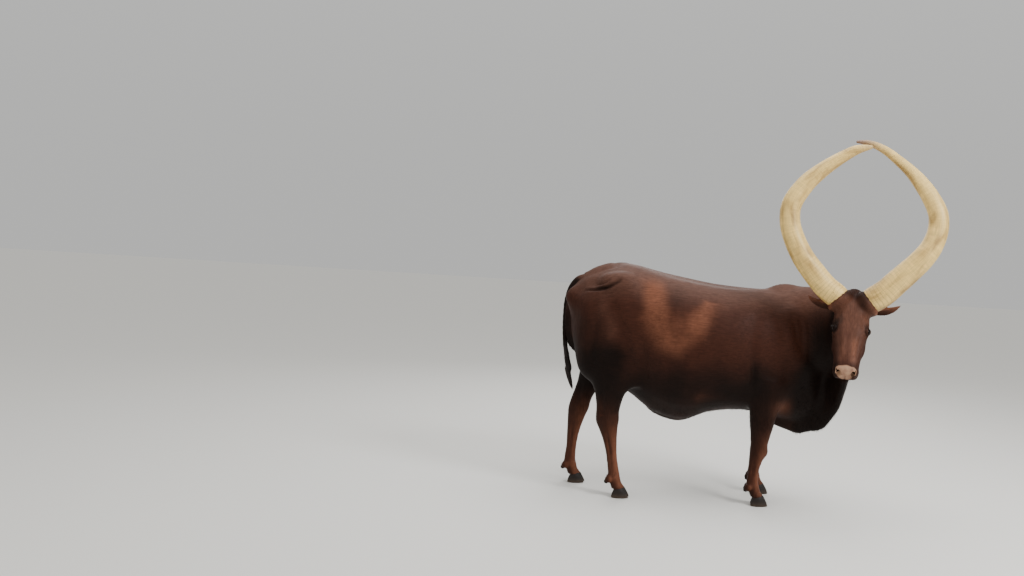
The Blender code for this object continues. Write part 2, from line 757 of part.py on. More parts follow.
def tidy(made, material):
    """Welds, triangulates and colours a finished piece, and keeps its one closed body."""
    bodies = bodies_of(made)
    name = made.name
    bpy.data.objects.remove(made)
    body = bodies[0]
    for spare in bodies[1:]:
        spare.free()
    bmesh.ops.dissolve_degenerate(body, edges=body.edges, dist=2e-5)
    bmesh.ops.triangulate(body, faces=body.faces)
    return object_of(name, body, material)


def main():
    clear_scene()
    coat = finish("dark brown coat", (0.085, 0.032, 0.020), 0.5)
    horn_matter = finish("cream horn", (0.62, 0.50, 0.30), 0.45)
    claw_matter = finish("dark claw", (0.040, 0.028, 0.020), 0.5)
    eye_matter = finish("dark eye", (0.012, 0.008, 0.006), 0.1)
    hair = finish("black brown hair", (0.018, 0.010, 0.008), 0.6)

    # where the head is parted from the neck: behind the jaw, square to the way the face looks
    looks = Matrix.Rotation(HEAD_TURN, 4, "Z") @ Matrix.Rotation(math.radians(-6), 4, "Y")
    seam = Vector((0.858, -0.300, 1.150))
    beyond = looks.to_3x3() @ AHEAD

    body = fuse("body", trunk_pieces() + neck_pieces() + leg_pieces(), BODY_VOXEL, BODY_TRIANGLES, 26, 0.62)
    throat = object_of("throat", copy_of(body))
    boolean(throat, block(seam + beyond * (0.5 + GAP / 2), (1.0, 0.43, 1.2), looks), "INTERSECT")
    boolean(body, block(seam + beyond * (0.5 - GAP / 2), (1.0, 0.44, 1.2), looks), "DIFFERENCE")

    head = fuse("head", head_pieces(), HEAD_VOXEL, HEAD_TRIANGLES, 4)
    boolean(head, block(seam + beyond * (0.5 + GAP / 2), (1.0, 0.42, 1.2), looks), "INTERSECT")
    boolean(head, throat, "UNION")
    boolean(head, mouth_groove(head), "DIFFERENCE")
    eyes = []
    horns = []
    ears = []
    for word, side in SIDES.items():
        boolean(head, nostril(side), "DIFFERENCE")
        boolean(head, lid_opening(side), "DIFFERENCE")
        eyes.append(object_of("eye_" + word, eye(side), eye_matter))
        horns.append(object_of("horn_" + word, horn(side), horn_matter))
        ears.append(object_of("ear_" + word, ear(side), coat))
    seated(head, eyes + horns)
    seated(head, ears, 2 * GAP)
    tidy(head, coat)
    for ear_made, horn_made in zip(ears, horns):
        seated(ear_made, [horn_made])
        tidy(ear_made, coat)

    # the trunk, the neck and the four legs
    lean = Matrix.Rotation(math.radians(-8), 4, "Z") @ Matrix.Rotation(math.radians(-6), 4, "Y")
    cuts = [block((0.625, 0.0, 0.9), (GAP, 0.9, 1.3), lean)]
    for (place, word), foot in FOOT_X.items():
        front = place == "front"
        x = foot if front else foot - 0.085 if word == "right" else foot + 0.040
        height = FORELEG_CUT if front else HIND_LEG_CUT
        cuts.append(block((x, SIDES[word] * 0.170, height), (0.200 if front else 0.260, 0.220, GAP)))
    bodies = parted(body, cuts)
    names = {}
    for piece in bodies:
        middle = middle_of(piece)
        if middle.z > 0.6:
            name = "torso" if middle.x < 0.5 else "neck"
        else:
            name = ("leg_front_" if middle.x > 0 else "leg_hind_") + ("right" if middle.y < 0 else "left")
        if name not in names:
            names[name] = object_of(name, piece)
        else:
            piece.free()

    bone = object_of("tail", tail(), hair)
    seated(names["torso"], [bone])
    tuft = tail_tuft(bone)
    for (place, word), foot in FOOT_X.items():
        side = SIDES[word]
        shank = names["leg_" + place + "_" + word]
        horny = []
        for part, way in (("inner", -1.0), ("outer", 1.0)):
            y = side * (STANCE + way * CLAW_APART / 2)
            ending = "_" + place + "_" + word + "_" + part
            horny.append(object_of("claw" + ending, claw(foot + CLAW_AHEAD, y, -side * way), claw_matter))
            horny.append(object_of("dewclaw" + ending, dewclaw(foot, y), claw_matter))
        seated(shank, horny)
    for made in names.values():
        tidy(made, coat)
    tidy(tuft, hair)

    # the middle of the whole stands on the origin
    points = [v.co for made in bpy.data.objects for v in made.data.vertices]
    low = [min(p[k] for p in points) for k in range(3)]
    high = [max(p[k] for p in points) for k in range(3)]
    shift = Matrix.Translation((-(low[0] + high[0]) / 2, -(low[1] + high[1]) / 2, -low[2]))
    for made in bpy.data.objects:
        made.data.transform(shift)


main()
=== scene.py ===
"""A life-size Ankole-Watusi in its dark brown coat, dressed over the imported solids, in metres, +Z up.

One skin stands for all the flesh. It is fused from the solids, evened, folded and creased as hide is,
and thinned where it is plain. Tufts of coat, the switch of the tail, eyes, horns and claws are pieces of
their own.
"""

import math

import bmesh
import bpy
import numpy as np
from bpy.props import FloatProperty, IntProperty, PointerProperty, StringProperty
from mathutils import Matrix, Vector
from mathutils.bvhtree import BVHTree


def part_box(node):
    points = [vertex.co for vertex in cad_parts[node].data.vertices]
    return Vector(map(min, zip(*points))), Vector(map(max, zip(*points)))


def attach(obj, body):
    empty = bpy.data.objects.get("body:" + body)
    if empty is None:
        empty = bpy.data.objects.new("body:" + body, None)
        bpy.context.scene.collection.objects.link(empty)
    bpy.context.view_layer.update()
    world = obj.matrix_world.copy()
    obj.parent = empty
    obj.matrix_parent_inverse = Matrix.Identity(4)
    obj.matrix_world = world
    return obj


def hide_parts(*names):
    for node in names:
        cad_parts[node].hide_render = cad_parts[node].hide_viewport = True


bl_info = {
    "name": "Ankole-Watusi",
    "version": (1, 0, 0),
    "blender": (4, 5, 0),
    "location": "View3D > Sidebar > Watusi",
    "description": "Dresses the packed solids of an Ankole-Watusi with skin, coat, horns, eyes and claws",
    "category": "Object",
}

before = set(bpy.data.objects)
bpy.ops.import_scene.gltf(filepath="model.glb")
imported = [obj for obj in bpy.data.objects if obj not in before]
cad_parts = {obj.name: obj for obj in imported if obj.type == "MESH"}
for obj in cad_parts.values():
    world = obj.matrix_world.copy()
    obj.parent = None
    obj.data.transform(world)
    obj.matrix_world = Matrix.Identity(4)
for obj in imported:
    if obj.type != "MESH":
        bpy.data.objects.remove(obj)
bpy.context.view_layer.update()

ROOT = "root"
SIDES = {"right": -1.0, "left": 1.0}
PLACES = ("front", "hind")
LEGS = [f"leg_{place}_{word}" for place in PLACES for word in SIDES]
PARTS = ("inner", "outer")
CLAWS = [f"claw_{place}_{word}_{part}" for place in PLACES for word in SIDES for part in PARTS]
FLESH = ["head", "ear_right", "ear_left", "neck", "torso", "tail"] + LEGS

# How the head is turned, rolled and sloped, and where the eyes sit in it from the poll
HEAD_TURN = math.radians(-96.5)
HEAD_ROLL = math.radians(-4.0)
FACE_SLOPE = math.radians(53.0)
EYE_PLACE = Vector((0.226, 0.0, -0.045))

# The near fore foot's middle, ahead of the middle of the barrel
FORE_FOOT = 0.4005


def middle(node):
    """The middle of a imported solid's box."""
    low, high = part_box(node)
    return (low + high) / 2


# The trunk's own place: x ahead of the barrel's middle, y left of the midline, z above the floor
TRUNK = Vector((
    middle("claw_front_right_outer").x - FORE_FOOT,
    sum(middle(f"claw_front_{word}_{part}").y for word in SIDES for part in PARTS) / 4,
    0.0,
))
LEVEL = (Matrix.Rotation(HEAD_TURN, 4, "Z") @ Matrix.Rotation(HEAD_ROLL, 4, "X")).to_3x3()
# +X down the face, +Y the animal's left, +Z out of the forehead
SKULL = LEVEL @ Matrix.Rotation(FACE_SLOPE, 3, "Y")
POLL = (middle("eye_right") + middle("eye_left")) / 2 - SKULL @ EYE_PLACE
HEAD = Matrix.Translation(POLL) @ SKULL.to_4x4()
# The seam between head and neck, behind the jaw
SEAM = TRUNK + Vector((0.858, -0.300, 1.150))
# The way the seam faces
LOOKS = Matrix.Rotation(HEAD_TURN, 3, "Z") @ Matrix.Rotation(math.radians(-6), 3, "Y") @ Vector((1, 0, 0))

# Settings that many nodes share
COLOURS = {"data_type": "RGBA"}
NUMBERS = {"data_type": "FLOAT"}
SOFT = {"interpolation_type": "SMOOTHSTEP"}
PLUS = {"operation": "ADD"}
MINUS = {"operation": "SUBTRACT"}
TIMES = {"operation": "MULTIPLY"}


class Coat(bpy.types.PropertyGroup):
    """Sizes and colours of the skin and the coat."""

    fine: FloatProperty(
        name="Skin grid", description="Size of the grid that the flesh is fused on",
        default=0.0042, min=0.002, max=0.01, unit="LENGTH")
    coarse: FloatProperty(
        name="Evening grid", description="Size of the grid that the trunk is evened on",
        default=0.007, min=0.004, max=0.02, unit="LENGTH")
    depth: FloatProperty(
        name="Coat depth", description="How far the skin lies inside the solids",
        default=0.0025, min=0.0, max=0.01, unit="LENGTH")
    triangles: IntProperty(
        name="Skin triangles", description="About how many the skin keeps before the face is refined",
        default=150000, min=20000, max=190000)
    tufts: IntProperty(
        name="Tufts", description="How many tufts of short coat grow on the skin",
        default=30000, min=0, max=80000)
    # Dark brown is mostly painted shade: under the belly, on the neck beside the head, between and behind the
    # legs, in hollows and creases and on the shaded side of the face; the tail's near black is its own
    dark: StringProperty(name="Dark brown", description="Belly, neck and inner legs", default="#110805")
    brown: StringProperty(name="Brown", description="Most of the coat", default="#371D14")
    # Plum brown is painted light: a painted reflection of the sky along the back, painted light on the face
    # and painted highlights on the thigh and the bridge of the nose
    plum: StringProperty(name="Plum brown", description="The sun-bleached back", default="#54392F")
    # Warm brown is partly painted sunlight: the arc on the barrel, the fronts of the legs, the breast, the
    # face and the bridge of the nose; it is also the redder hair of the shins, the low barrel and the inner
    # ears
    warm: StringProperty(name="Warm brown", description="Flank and the fronts of the legs", default="#7A4C38")
    bare: StringProperty(name="Bare skin", description="Nose pad and the rims of the lids", default="#BA9778")


class Horns(bpy.types.PropertyGroup):
    """Sizes and colours of the horns."""

    rings: IntProperty(
        name="Rings", description="Rings of vertices along a horn", default=300, min=60, max=600)
    sides: IntProperty(
        name="Sides", description="Vertices in each ring", default=64, min=16, max=128)
    growth: FloatProperty(
        name="Growth ring", description="Distance between growth rings at the root",
        default=0.011, min=0.004, max=0.03, unit="LENGTH")
    cream: StringProperty(name="Cream", description="Clean horn", default="#ECC878")
    ochre: StringProperty(name="Ochre", description="Weathered and stained horn", default="#94703A")
    tip: StringProperty(name="Tip", description="The worn ends", default="#8F7466")


class Eyes(bpy.types.PropertyGroup):
    """Sizes and colours of the eyes and lids."""

    half_length: FloatProperty(
        name="Half length", description="Half the length of the gap between the lids",
        default=0.0165, min=0.01, max=0.03, unit="LENGTH")
    half_height: FloatProperty(
        name="Half height", description="Half the height of the gap between the lids",
        default=0.0098, min=0.004, max=0.02, unit="LENGTH")
    lid: FloatProperty(
        name="Lid", description="Thickness of a lid", default=0.0034, min=0.001, max=0.006, unit="LENGTH")
    iris: StringProperty(name="Iris", description="Colour of the iris", default="#2A150C")


class Claws(bpy.types.PropertyGroup):
    """Colours of the claws and dewclaws."""

    horn: StringProperty(name="Claw horn", description="Dark horn of the claws", default="#1D1511")
    worn: StringProperty(name="Worn horn", description="Worn edges near the ground", default="#5A493A")


def linear(code):
    """An sRGB hex colour as a linear RGBA value."""
    parts = [int(code[k:k + 2], 16) / 255 for k in (1, 3, 5)]
    return (*[c / 12.92 if c <= 0.04045 else ((c + 0.055) / 1.055) ** 2.4 for c in parts], 1.0)


def add(tree, kind, settings=None, *values, **named):
    """Adds a node; its sockets take values, nodes or their outputs, in order or by name."""
    node = tree.nodes.new("ShaderNode" + kind)
    for key, value in (settings or {}).items():
        setattr(node, key, value)
    live = [socket for socket in node.inputs if socket.enabled]
    named = {node.inputs[key.replace("_", " ")]: value for key, value in named.items()}
    for socket, value in [*zip(live, values), *named.items()]:
        if isinstance(value, bpy.types.Node):
            value = next(output for output in value.outputs if output.enabled)
        if isinstance(value, bpy.types.NodeSocket):
            tree.links.new(value, socket)
        else:
            socket.default_value = value
    return node


def new_material(name, **values):
    """An empty material with its shader and its output joined, and the values on the shader's sockets."""
    material = bpy.data.materials.new(name)
    material.use_nodes = True
    tree = material.node_tree
    tree.nodes.clear()
    shader = add(tree, "BsdfPrincipled", {}, **values)
    add(tree, "OutputMaterial", {}, Surface=shader)
    return material, tree, shader


def step(low, high, value):
    """0 below low, 1 above high and smooth between; the other way round where low is above high."""
    t = np.clip((value - low) / (high - low), 0.0, 1.0)
    return t * t * (3 - 2 * t)


def spot(x, y, z):
    """A place given in the trunk's own coordinates."""
    return TRUNK + Vector((x, y, z))


def in_trunk(points):
    """Points in the trunk's own coordinates."""
    return points - np.array(TRUNK)


def in_head(points):
    """Points in the skull's coordinates."""
    return (points - np.array(POLL)) @ np.array(SKULL)


def read(items, key, width, kind=np.float32):
    """One property of a mesh's items, as rows."""
    values = np.empty(len(items) * width, kind)
    items.foreach_get(key, values)
    rows = values.reshape(-1, width) if width > 1 else values
    return rows.astype(np.float64) if kind == np.float32 else rows


def points_of(mesh):
    """A mesh's vertex places."""
    return read(mesh.vertices, "co", 3)


def place(mesh, points):
    """Moves a mesh's vertices."""
    mesh.vertices.foreach_set("co", points.astype(np.float32).ravel())
    mesh.update()


def mark(mesh, name, values):
    """Stores a number or a vector for each vertex."""
    vector = values.ndim == 2
    layer = mesh.attributes.new(name, "FLOAT_VECTOR" if vector else "FLOAT", "POINT")
    layer.data.foreach_set("vector" if vector else "value", values.astype(np.float32).ravel())


def mesh_of(name, points, faces):
    """A new object from rows of points and rows of triangles or quads."""
    mesh = bpy.data.meshes.new(name)
    count, corners = faces.shape
    mesh.vertices.add(len(points))
    mesh.vertices.foreach_set("co", points.astype(np.float32).ravel())
    mesh.loops.add(count * corners)
    mesh.loops.foreach_set("vertex_index", faces.astype(np.int32).ravel())
    mesh.polygons.add(count)
    mesh.polygons.foreach_set("loop_start", np.arange(0, count * corners, corners, dtype=np.int32))
    mesh.update(calc_edges=True)
    mesh.validate()
    made = bpy.data.objects.new(name, mesh)
    bpy.context.scene.collection.objects.link(made)
    return made


def only(made):
    """Selects one object and nothing else."""
    bpy.ops.object.select_all(action="DESELECT")
    made.hide_set(False)
    made.select_set(True)
    bpy.context.view_layer.objects.active = made


def apply_all(made):
    """Applies an object's modifiers in order."""
    only(made)
    for modifier in list(made.modifiers):
        bpy.ops.object.modifier_apply(modifier=modifier.name)


def copy_of(node):
    """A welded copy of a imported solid."""
    made = bpy.data.objects.new(node + "_copy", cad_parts[node].data.copy())
    bpy.context.scene.collection.objects.link(made)
    only(made)
    bpy.ops.object.mode_set(mode="EDIT")
    bpy.ops.mesh.select_all(action="SELECT")
    bpy.ops.mesh.remove_doubles(threshold=1e-5)
    bpy.ops.object.mode_set(mode="OBJECT")
    return made


def grow(made, by):
    """Pushes an object's vertices out along their normals."""
    mesh = made.data
    place(mesh, points_of(mesh) + by * read(mesh.vertex_normals, "vector", 3))
    return made


def settle(made, material, slot, *nodes):
    """Gives a finished piece its material and body, and says which solids it stands for."""
    made.data.materials.clear()
    made.data.materials.append(material)
    only(made)
    bpy.ops.object.shade_smooth()
    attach(made, ROOT)
    if nodes:
        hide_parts(*nodes)
    return made


def curve_through(rows, count):
    """Rows of numbers at even steps on a smooth curve through the given rows."""
    rows = np.array(rows, float)
    last = len(rows) - 1
    t = np.linspace(0, last, count)
    i = np.minimum(t.astype(int), last - 1)
    f = (t - i)[:, None]
    a, b, c, d = (rows[np.clip(i + k, 0, last)] for k in (-1, 0, 1, 2))
    square = (2 * a - 5 * b + 4 * c - d) * f ** 2
    return 0.5 * (2 * b + (c - a) * f + square + (3 * b - a - 3 * c + d) * f ** 3)


def rings_of(node, sides):
    """Middles and radii of a swept solid's rings, counted from the end nearest the body."""
    body = bmesh.new()
    body.from_mesh(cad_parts[node].data)
    bmesh.ops.remove_doubles(body, verts=body.verts, dist=1e-5)
    body.normal_update()
    start = POLL if node.startswith("horn") else middle("torso")
    # each flat end is a fan from one corner of its ring, which so has more edges than the ring has corners
    corners = [vert for vert in body.verts if len(vert.link_edges) > sides]
    corner = min(corners, key=lambda vert: (vert.co - start).length)

    def alike(face):
        """The faces at the corner that lie in one plane with this one."""
        return [other for other in corner.link_faces if other.normal.dot(face.normal) > 0.999]

    cap = max((alike(face) for face in corner.link_faces), key=len)
    level = {vert for face in cap for vert in face.verts}
    seen = set(level)
    rings = []
    while len(level) >= sides:
        places = np.array([vert.co for vert in level])
        centre = places.mean(0)
        rings.append((*centre, np.linalg.norm(places - centre, axis=1).mean()))
        level = {edge.other_vert(vert) for vert in level for edge in vert.link_edges} - seen
        seen |= level
    body.free()
    return np.array(rings)


def swept(name, middles, radii, sides, bumps=None):
    """A closed tube of quads and end fans along the middles; bumps gives each ring's radius factors.

    Its vertices carry their place in the same tube pulled straight: across, across and along.
    """
    along = np.gradient(middles, axis=0)
    along /= np.linalg.norm(along, axis=1)[:, None]
    across = np.cross(along[0], (0.0, 0.0, 1.0))
    lengths = np.concatenate(([0.0], np.cumsum(np.linalg.norm(np.diff(middles, axis=0), axis=1))))
    turn = np.linspace(0, 2 * math.pi, sides, endpoint=False)
    points = []
    straight = []
    for k, centre in enumerate(middles):
        across = across - along[k] * (across @ along[k])
        across /= np.linalg.norm(across)
        other = np.cross(along[k], across)
        factor = (bumps[k] if bumps is not None else np.ones(sides)) * radii[k]
        a, b = np.cos(turn)[:, None], np.sin(turn)[:, None]
        points.append(centre + a * factor[:, None] * across + b * factor[:, None] * other)
        straight.append(np.hstack((a * radii[k], b * radii[k], np.full((sides, 1), lengths[k]))))
    count = len(middles)
    ring = np.arange(sides)
    after = (ring + 1) % sides
    quads = np.concatenate([
        np.stack((k * sides + ring, k * sides + after, (k + 1) * sides + after, (k + 1) * sides + ring), 1)
        for k in range(count - 1)
    ])
    ends = [middles[0], middles[-1] + along[-1] * radii[-1] * 0.6]
    first = count * sides
    fans = [np.stack((after, ring, np.full(sides, first)), 1),
            np.stack((first - sides + ring, first - sides + after, np.full(sides, first + 1)), 1)]
    triangles = np.concatenate([quads[:, [0, 1, 2]], quads[:, [0, 2, 3]], *fans])
    made = mesh_of(name, np.concatenate([*points, ends]), triangles)
    tips = np.array([[0.0, 0.0, lengths[0]], [0.0, 0.0, lengths[-1]]])
    mark(made.data, "straight", np.concatenate([*straight, tips]))
    return made


def averaged(values, pairs, rounds, share):
    """Values averaged with their neighbours' again and again; share says how much each one moves."""
    a = np.concatenate((pairs[:, 0], pairs[:, 1]))
    b = np.concatenate((pairs[:, 1], pairs[:, 0]))
    count = np.maximum(np.bincount(a, minlength=len(values)), 1)[:, None]
    for _ in range(rounds):
        mean = np.stack([np.bincount(a, values[b, k], len(values)) for k in range(3)], 1) / count
        values = values + 0.5 * share * (mean - values)
    return values


def evened(points, pairs, rounds, share):
    """Smooths a surface and gives back the broad shape that plain smoothing would shrink."""
    soft = averaged(points, pairs, rounds, share)
    return soft + averaged(points - soft, pairs, rounds, share)


def evened_where(mesh, share, rounds):
    """Evens the part of a mesh where share is above zero."""
    points = points_of(mesh)
    pairs = read(mesh.edges, "vertices", 2, np.int32)
    inside = np.flatnonzero(share > 0.001)
    index = np.full(len(points), -1)
    index[inside] = np.arange(len(inside))
    kept = index[pairs]
    kept = kept[(kept >= 0).all(1)]
    points[inside] = evened(points[inside], kept, rounds, share[inside, None])
    place(mesh, points)


def headness(points):
    """1 on the head, 0 on the neck and body, smooth between."""
    ahead = (points - np.array(SEAM)) @ np.array(LOOKS)
    return step(-0.030, 0.050, ahead) * (in_trunk(points)[:, 0] > 0.60)


def noise(points, size, seed, octaves=3):
    """Smooth random waves of about the given size, from -1 to 1."""
    draw = np.random.default_rng(seed)
    total = np.zeros(len(points))
    for octave in range(octaves):
        for _ in range(7):
            way = draw.normal(size=3)
            way *= 2 * math.pi / (size * np.linalg.norm(way))
            total += 0.5 ** octave * np.sin(points @ way + draw.uniform(0, 6.28))
        size *= 0.5
    return total / 5.0


class Clay:
    """The skin's points while they are pushed in and pulled out."""

    def __init__(self, made):
        self.mesh = made.data
        self.points = points_of(self.mesh)
        self.normals = read(self.mesh.vertex_normals, "vector", 3)
        self.tree = BVHTree.FromObject(made, bpy.context.evaluated_depsgraph_get())

    def hit(self, start, way):
        """Where a ray first meets the skin."""
        found = self.tree.ray_cast(start, way)[0]
        if found is None:
            raise RuntimeError(f"no skin along {way} from {start}")
        return found

    def flank(self, side, rows):
        """Places on one side of the trunk, from their x and height."""
        return [self.hit(spot(x, side * 0.9, z), Vector((0, -side, 0))) for x, z in rows]

    def ridge(self, rows):
        """Places on top of the trunk, from their x and y."""
        return [self.hit(spot(x, y, 1.9), Vector((0, 0, -1))) for x, y in rows]

    def face(self, rows):
        """Places on the front of the face, from their distance down it and to the left."""
        down = SKULL @ Vector((0, 0, -1))
        return [self.hit(HEAD @ Vector((u, v, 0.25)), down) for u, v in rows]

    def cheek(self, side, rows):
        """Places on one side of the head, from their distance down the face and out of it."""
        way = SKULL @ Vector((0, -side, 0))
        return [self.hit(HEAD @ Vector((u, side * 0.16, w)), way) for u, w in rows]

    def slice_of(self, node, z):
        """Middle and half sizes of the skin of one solid at a height, seen from above."""
        low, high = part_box(node)
        here = self.points[(np.abs(self.points[:, 2] - z) < 0.004)
                           & (self.points[:, 0] > low.x - 0.01) & (self.points[:, 0] < high.x + 0.01)
                           & (self.points[:, 1] > low.y - 0.01) & (self.points[:, 1] < high.y + 0.01), :2]
        return (here.min(0) + here.max(0)) / 2, (here.max(0) - here.min(0)) / 2

    def stroke(self, places, width, depth, lip=0.0, taper=0.5):
        """Presses in a groove with raised lips along a path; a negative depth pulls out a ridge."""
        path = curve_through([tuple(p) for p in places], 6 * len(places))
        reach = 3.2 * width
        inside = (self.points > path.min(0) - reach) & (self.points < path.max(0) + reach)
        near = np.flatnonzero(inside.all(1))
        here = self.points[near]
        best = np.full(len(near), 1e9)
        share = np.zeros(len(near))
        for k, (a, b) in enumerate(zip(path, path[1:])):
            run = b - a
            t = np.clip((here - a) @ run / max(run @ run, 1e-12), 0, 1)
            away = np.linalg.norm(here - a - t[:, None] * run, axis=1)
            closer = away < best
            best[closer] = away[closer]
            share[closer] = (k + t[closer]) / (len(path) - 1)
        fade = np.sin(np.pi * np.clip(share, 0.02, 0.98)) ** taper
        push = np.exp(-(best / width) ** 2) - lip * np.exp(-((best - 1.9 * width) / width) ** 2)
        self.points[near] -= self.normals[near] * (depth * push * fade)[:, None]

    def dent(self, centre, radii, depth, turn=None):
        """Presses a soft hollow in round a place, or raises a swelling if depth is negative."""
        turned = np.array(turn) if turn is not None else np.eye(3)
        away = (self.points - np.array(centre)) @ turned / np.array(radii)
        square = (away ** 2).sum(1)
        near = np.flatnonzero(square < 9)
        self.points[near] -= self.normals[near] * (depth * np.exp(-square[near]))[:, None]

    def work(self, seen, rows):
        """Works rows of places, width or radii, depth and more: a dent at one place, a stroke along more."""
        for places, size, depth, *more in rows:
            if len(places) == 1:
                self.dent(seen(places)[0], size, depth, *more)
            else:
                self.stroke(seen(places), size, depth, *more)

    def press(self, amount):
        """Moves every point in along its normal."""
        self.points -= self.normals * amount[:, None]

    def set(self):
        """Writes the points back."""
        place(self.mesh, self.points)


def fused_flesh():
    """The flesh joined as one object, with eye sockets, horn seats and claw seats filled; the tail's line."""
    pieces = [copy_of(node) for node in FLESH if node != "tail" and not node.startswith("ear")]
    pieces += [grow(copy_of(f"ear_{word}"), 0.0021) for word in SIDES]
    pieces += [grow(copy_of(f"eye_{word}"), 0.0050) for word in SIDES]
    pieces += [grow(copy_of(node), -0.0030) for node in CLAWS]
    pieces += [grow(copy_of("dew" + node), -0.0020) for node in CLAWS]
    for word, side in SIDES.items():
        root = grow(copy_of(f"horn_{word}"), 0.0010)
        only(root)
        bpy.ops.object.mode_set(mode="EDIT")
        bpy.ops.mesh.select_all(action="SELECT")
        bpy.ops.mesh.bisect(
            plane_co=POLL + LEVEL @ Vector((0.0, side * 0.165, 0.0)), plane_no=LEVEL @ Vector((0, side, 0.6)),
            use_fill=True, clear_outer=True)
        bpy.ops.object.mode_set(mode="OBJECT")
        pieces.append(root)
    for node in CLAWS:
        # the pad of flesh that each dewclaw sits in
        spur = middle("dew" + node)
        bpy.ops.object.select_all(action="DESELECT")
        bpy.ops.mesh.primitive_uv_sphere_add(
            segments=24, ring_count=16, radius=0.025, location=(spur.x + 0.015, spur.y, spur.z + 0.013))
        bpy.ops.object.transform_apply(location=True)
        pieces.append(bpy.context.object)
    rows = curve_through(rings_of("tail", 12), 120)
    # only the root of the tail is fused: the rest hangs free, as a piece of its own
    root = rows[rows[:, 2] > 1.13]
    thickness = root[:, 3] * (0.3 + 0.7 * step(1.13, 1.19, root[:, 2]))
    pieces.append(swept("tail_root", root[:, :3], thickness, 40))
    bpy.ops.object.select_all(action="DESELECT")
    for piece in pieces:
        piece.select_set(True)
    bpy.context.view_layer.objects.active = pieces[0]
    bpy.ops.object.join()
    return pieces[0], rows


def fuse(made, size):
    """Remeshes an object as one surface on a grid."""
    skin = made.modifiers.new("Fuse", "REMESH")
    skin.mode = "VOXEL"
    skin.voxel_size = size
    apply_all(made)


def nearest_along(points, path):
    """How far points are from the nearest of a path's points, and which one that is."""
    best = np.full(len(points), 1e9)
    which = np.zeros(len(points), int)
    for k, p in enumerate(path):
        away = np.linalg.norm(points - p, axis=1)
        closer = away < best
        best[closer] = away[closer]
        which[closer] = k
    return best, which


def even_trunk(made, coat, bone):
    """Takes out the facets of the trunk, neck and legs: the skin follows an evened coarser copy."""
    soft = made.copy()
    soft.data = made.data.copy()
    bpy.context.scene.collection.objects.link(soft)
    fuse(soft, coat.coarse)
    points = points_of(soft.data)
    high = in_trunk(points)[:, 2]
    share = 0.25 + 0.75 * step(0.30, 0.62, high)
    evened_where(soft.data, share, 42)
    finer = soft.modifiers.new("Finer", "SUBSURF")
    finer.levels = 1
    finer.render_levels = 1
    apply_all(soft)

    fuse(made, coat.fine * (1.0))
    points = points_of(made.data)
    high = in_trunk(points)[:, 2]
    away, which = nearest_along(points, bone[::4, :3])
    share = (1 - headness(points)) * step(0.11, 0.17, high)
    share *= step(0.012, 0.045, away - bone[::4, 3][which])
    group = made.vertex_groups.new(name="follow")
    levels = np.round(share * 20).astype(int)
    for level in range(1, 21):
        group.add(np.flatnonzero(levels == level).tolist(), level / 20, "REPLACE")
    wrap = made.modifiers.new("Follow", "SHRINKWRAP")
    wrap.target = soft
    wrap.vertex_group = "follow"
    apply_all(made)
    bpy.data.objects.remove(soft)
    made.vertex_groups.clear()
    # the parts that don't follow are evened on the fine grid
    evened_where(made.data, np.clip(1.25 - share, 0.25, 1.0), 14)


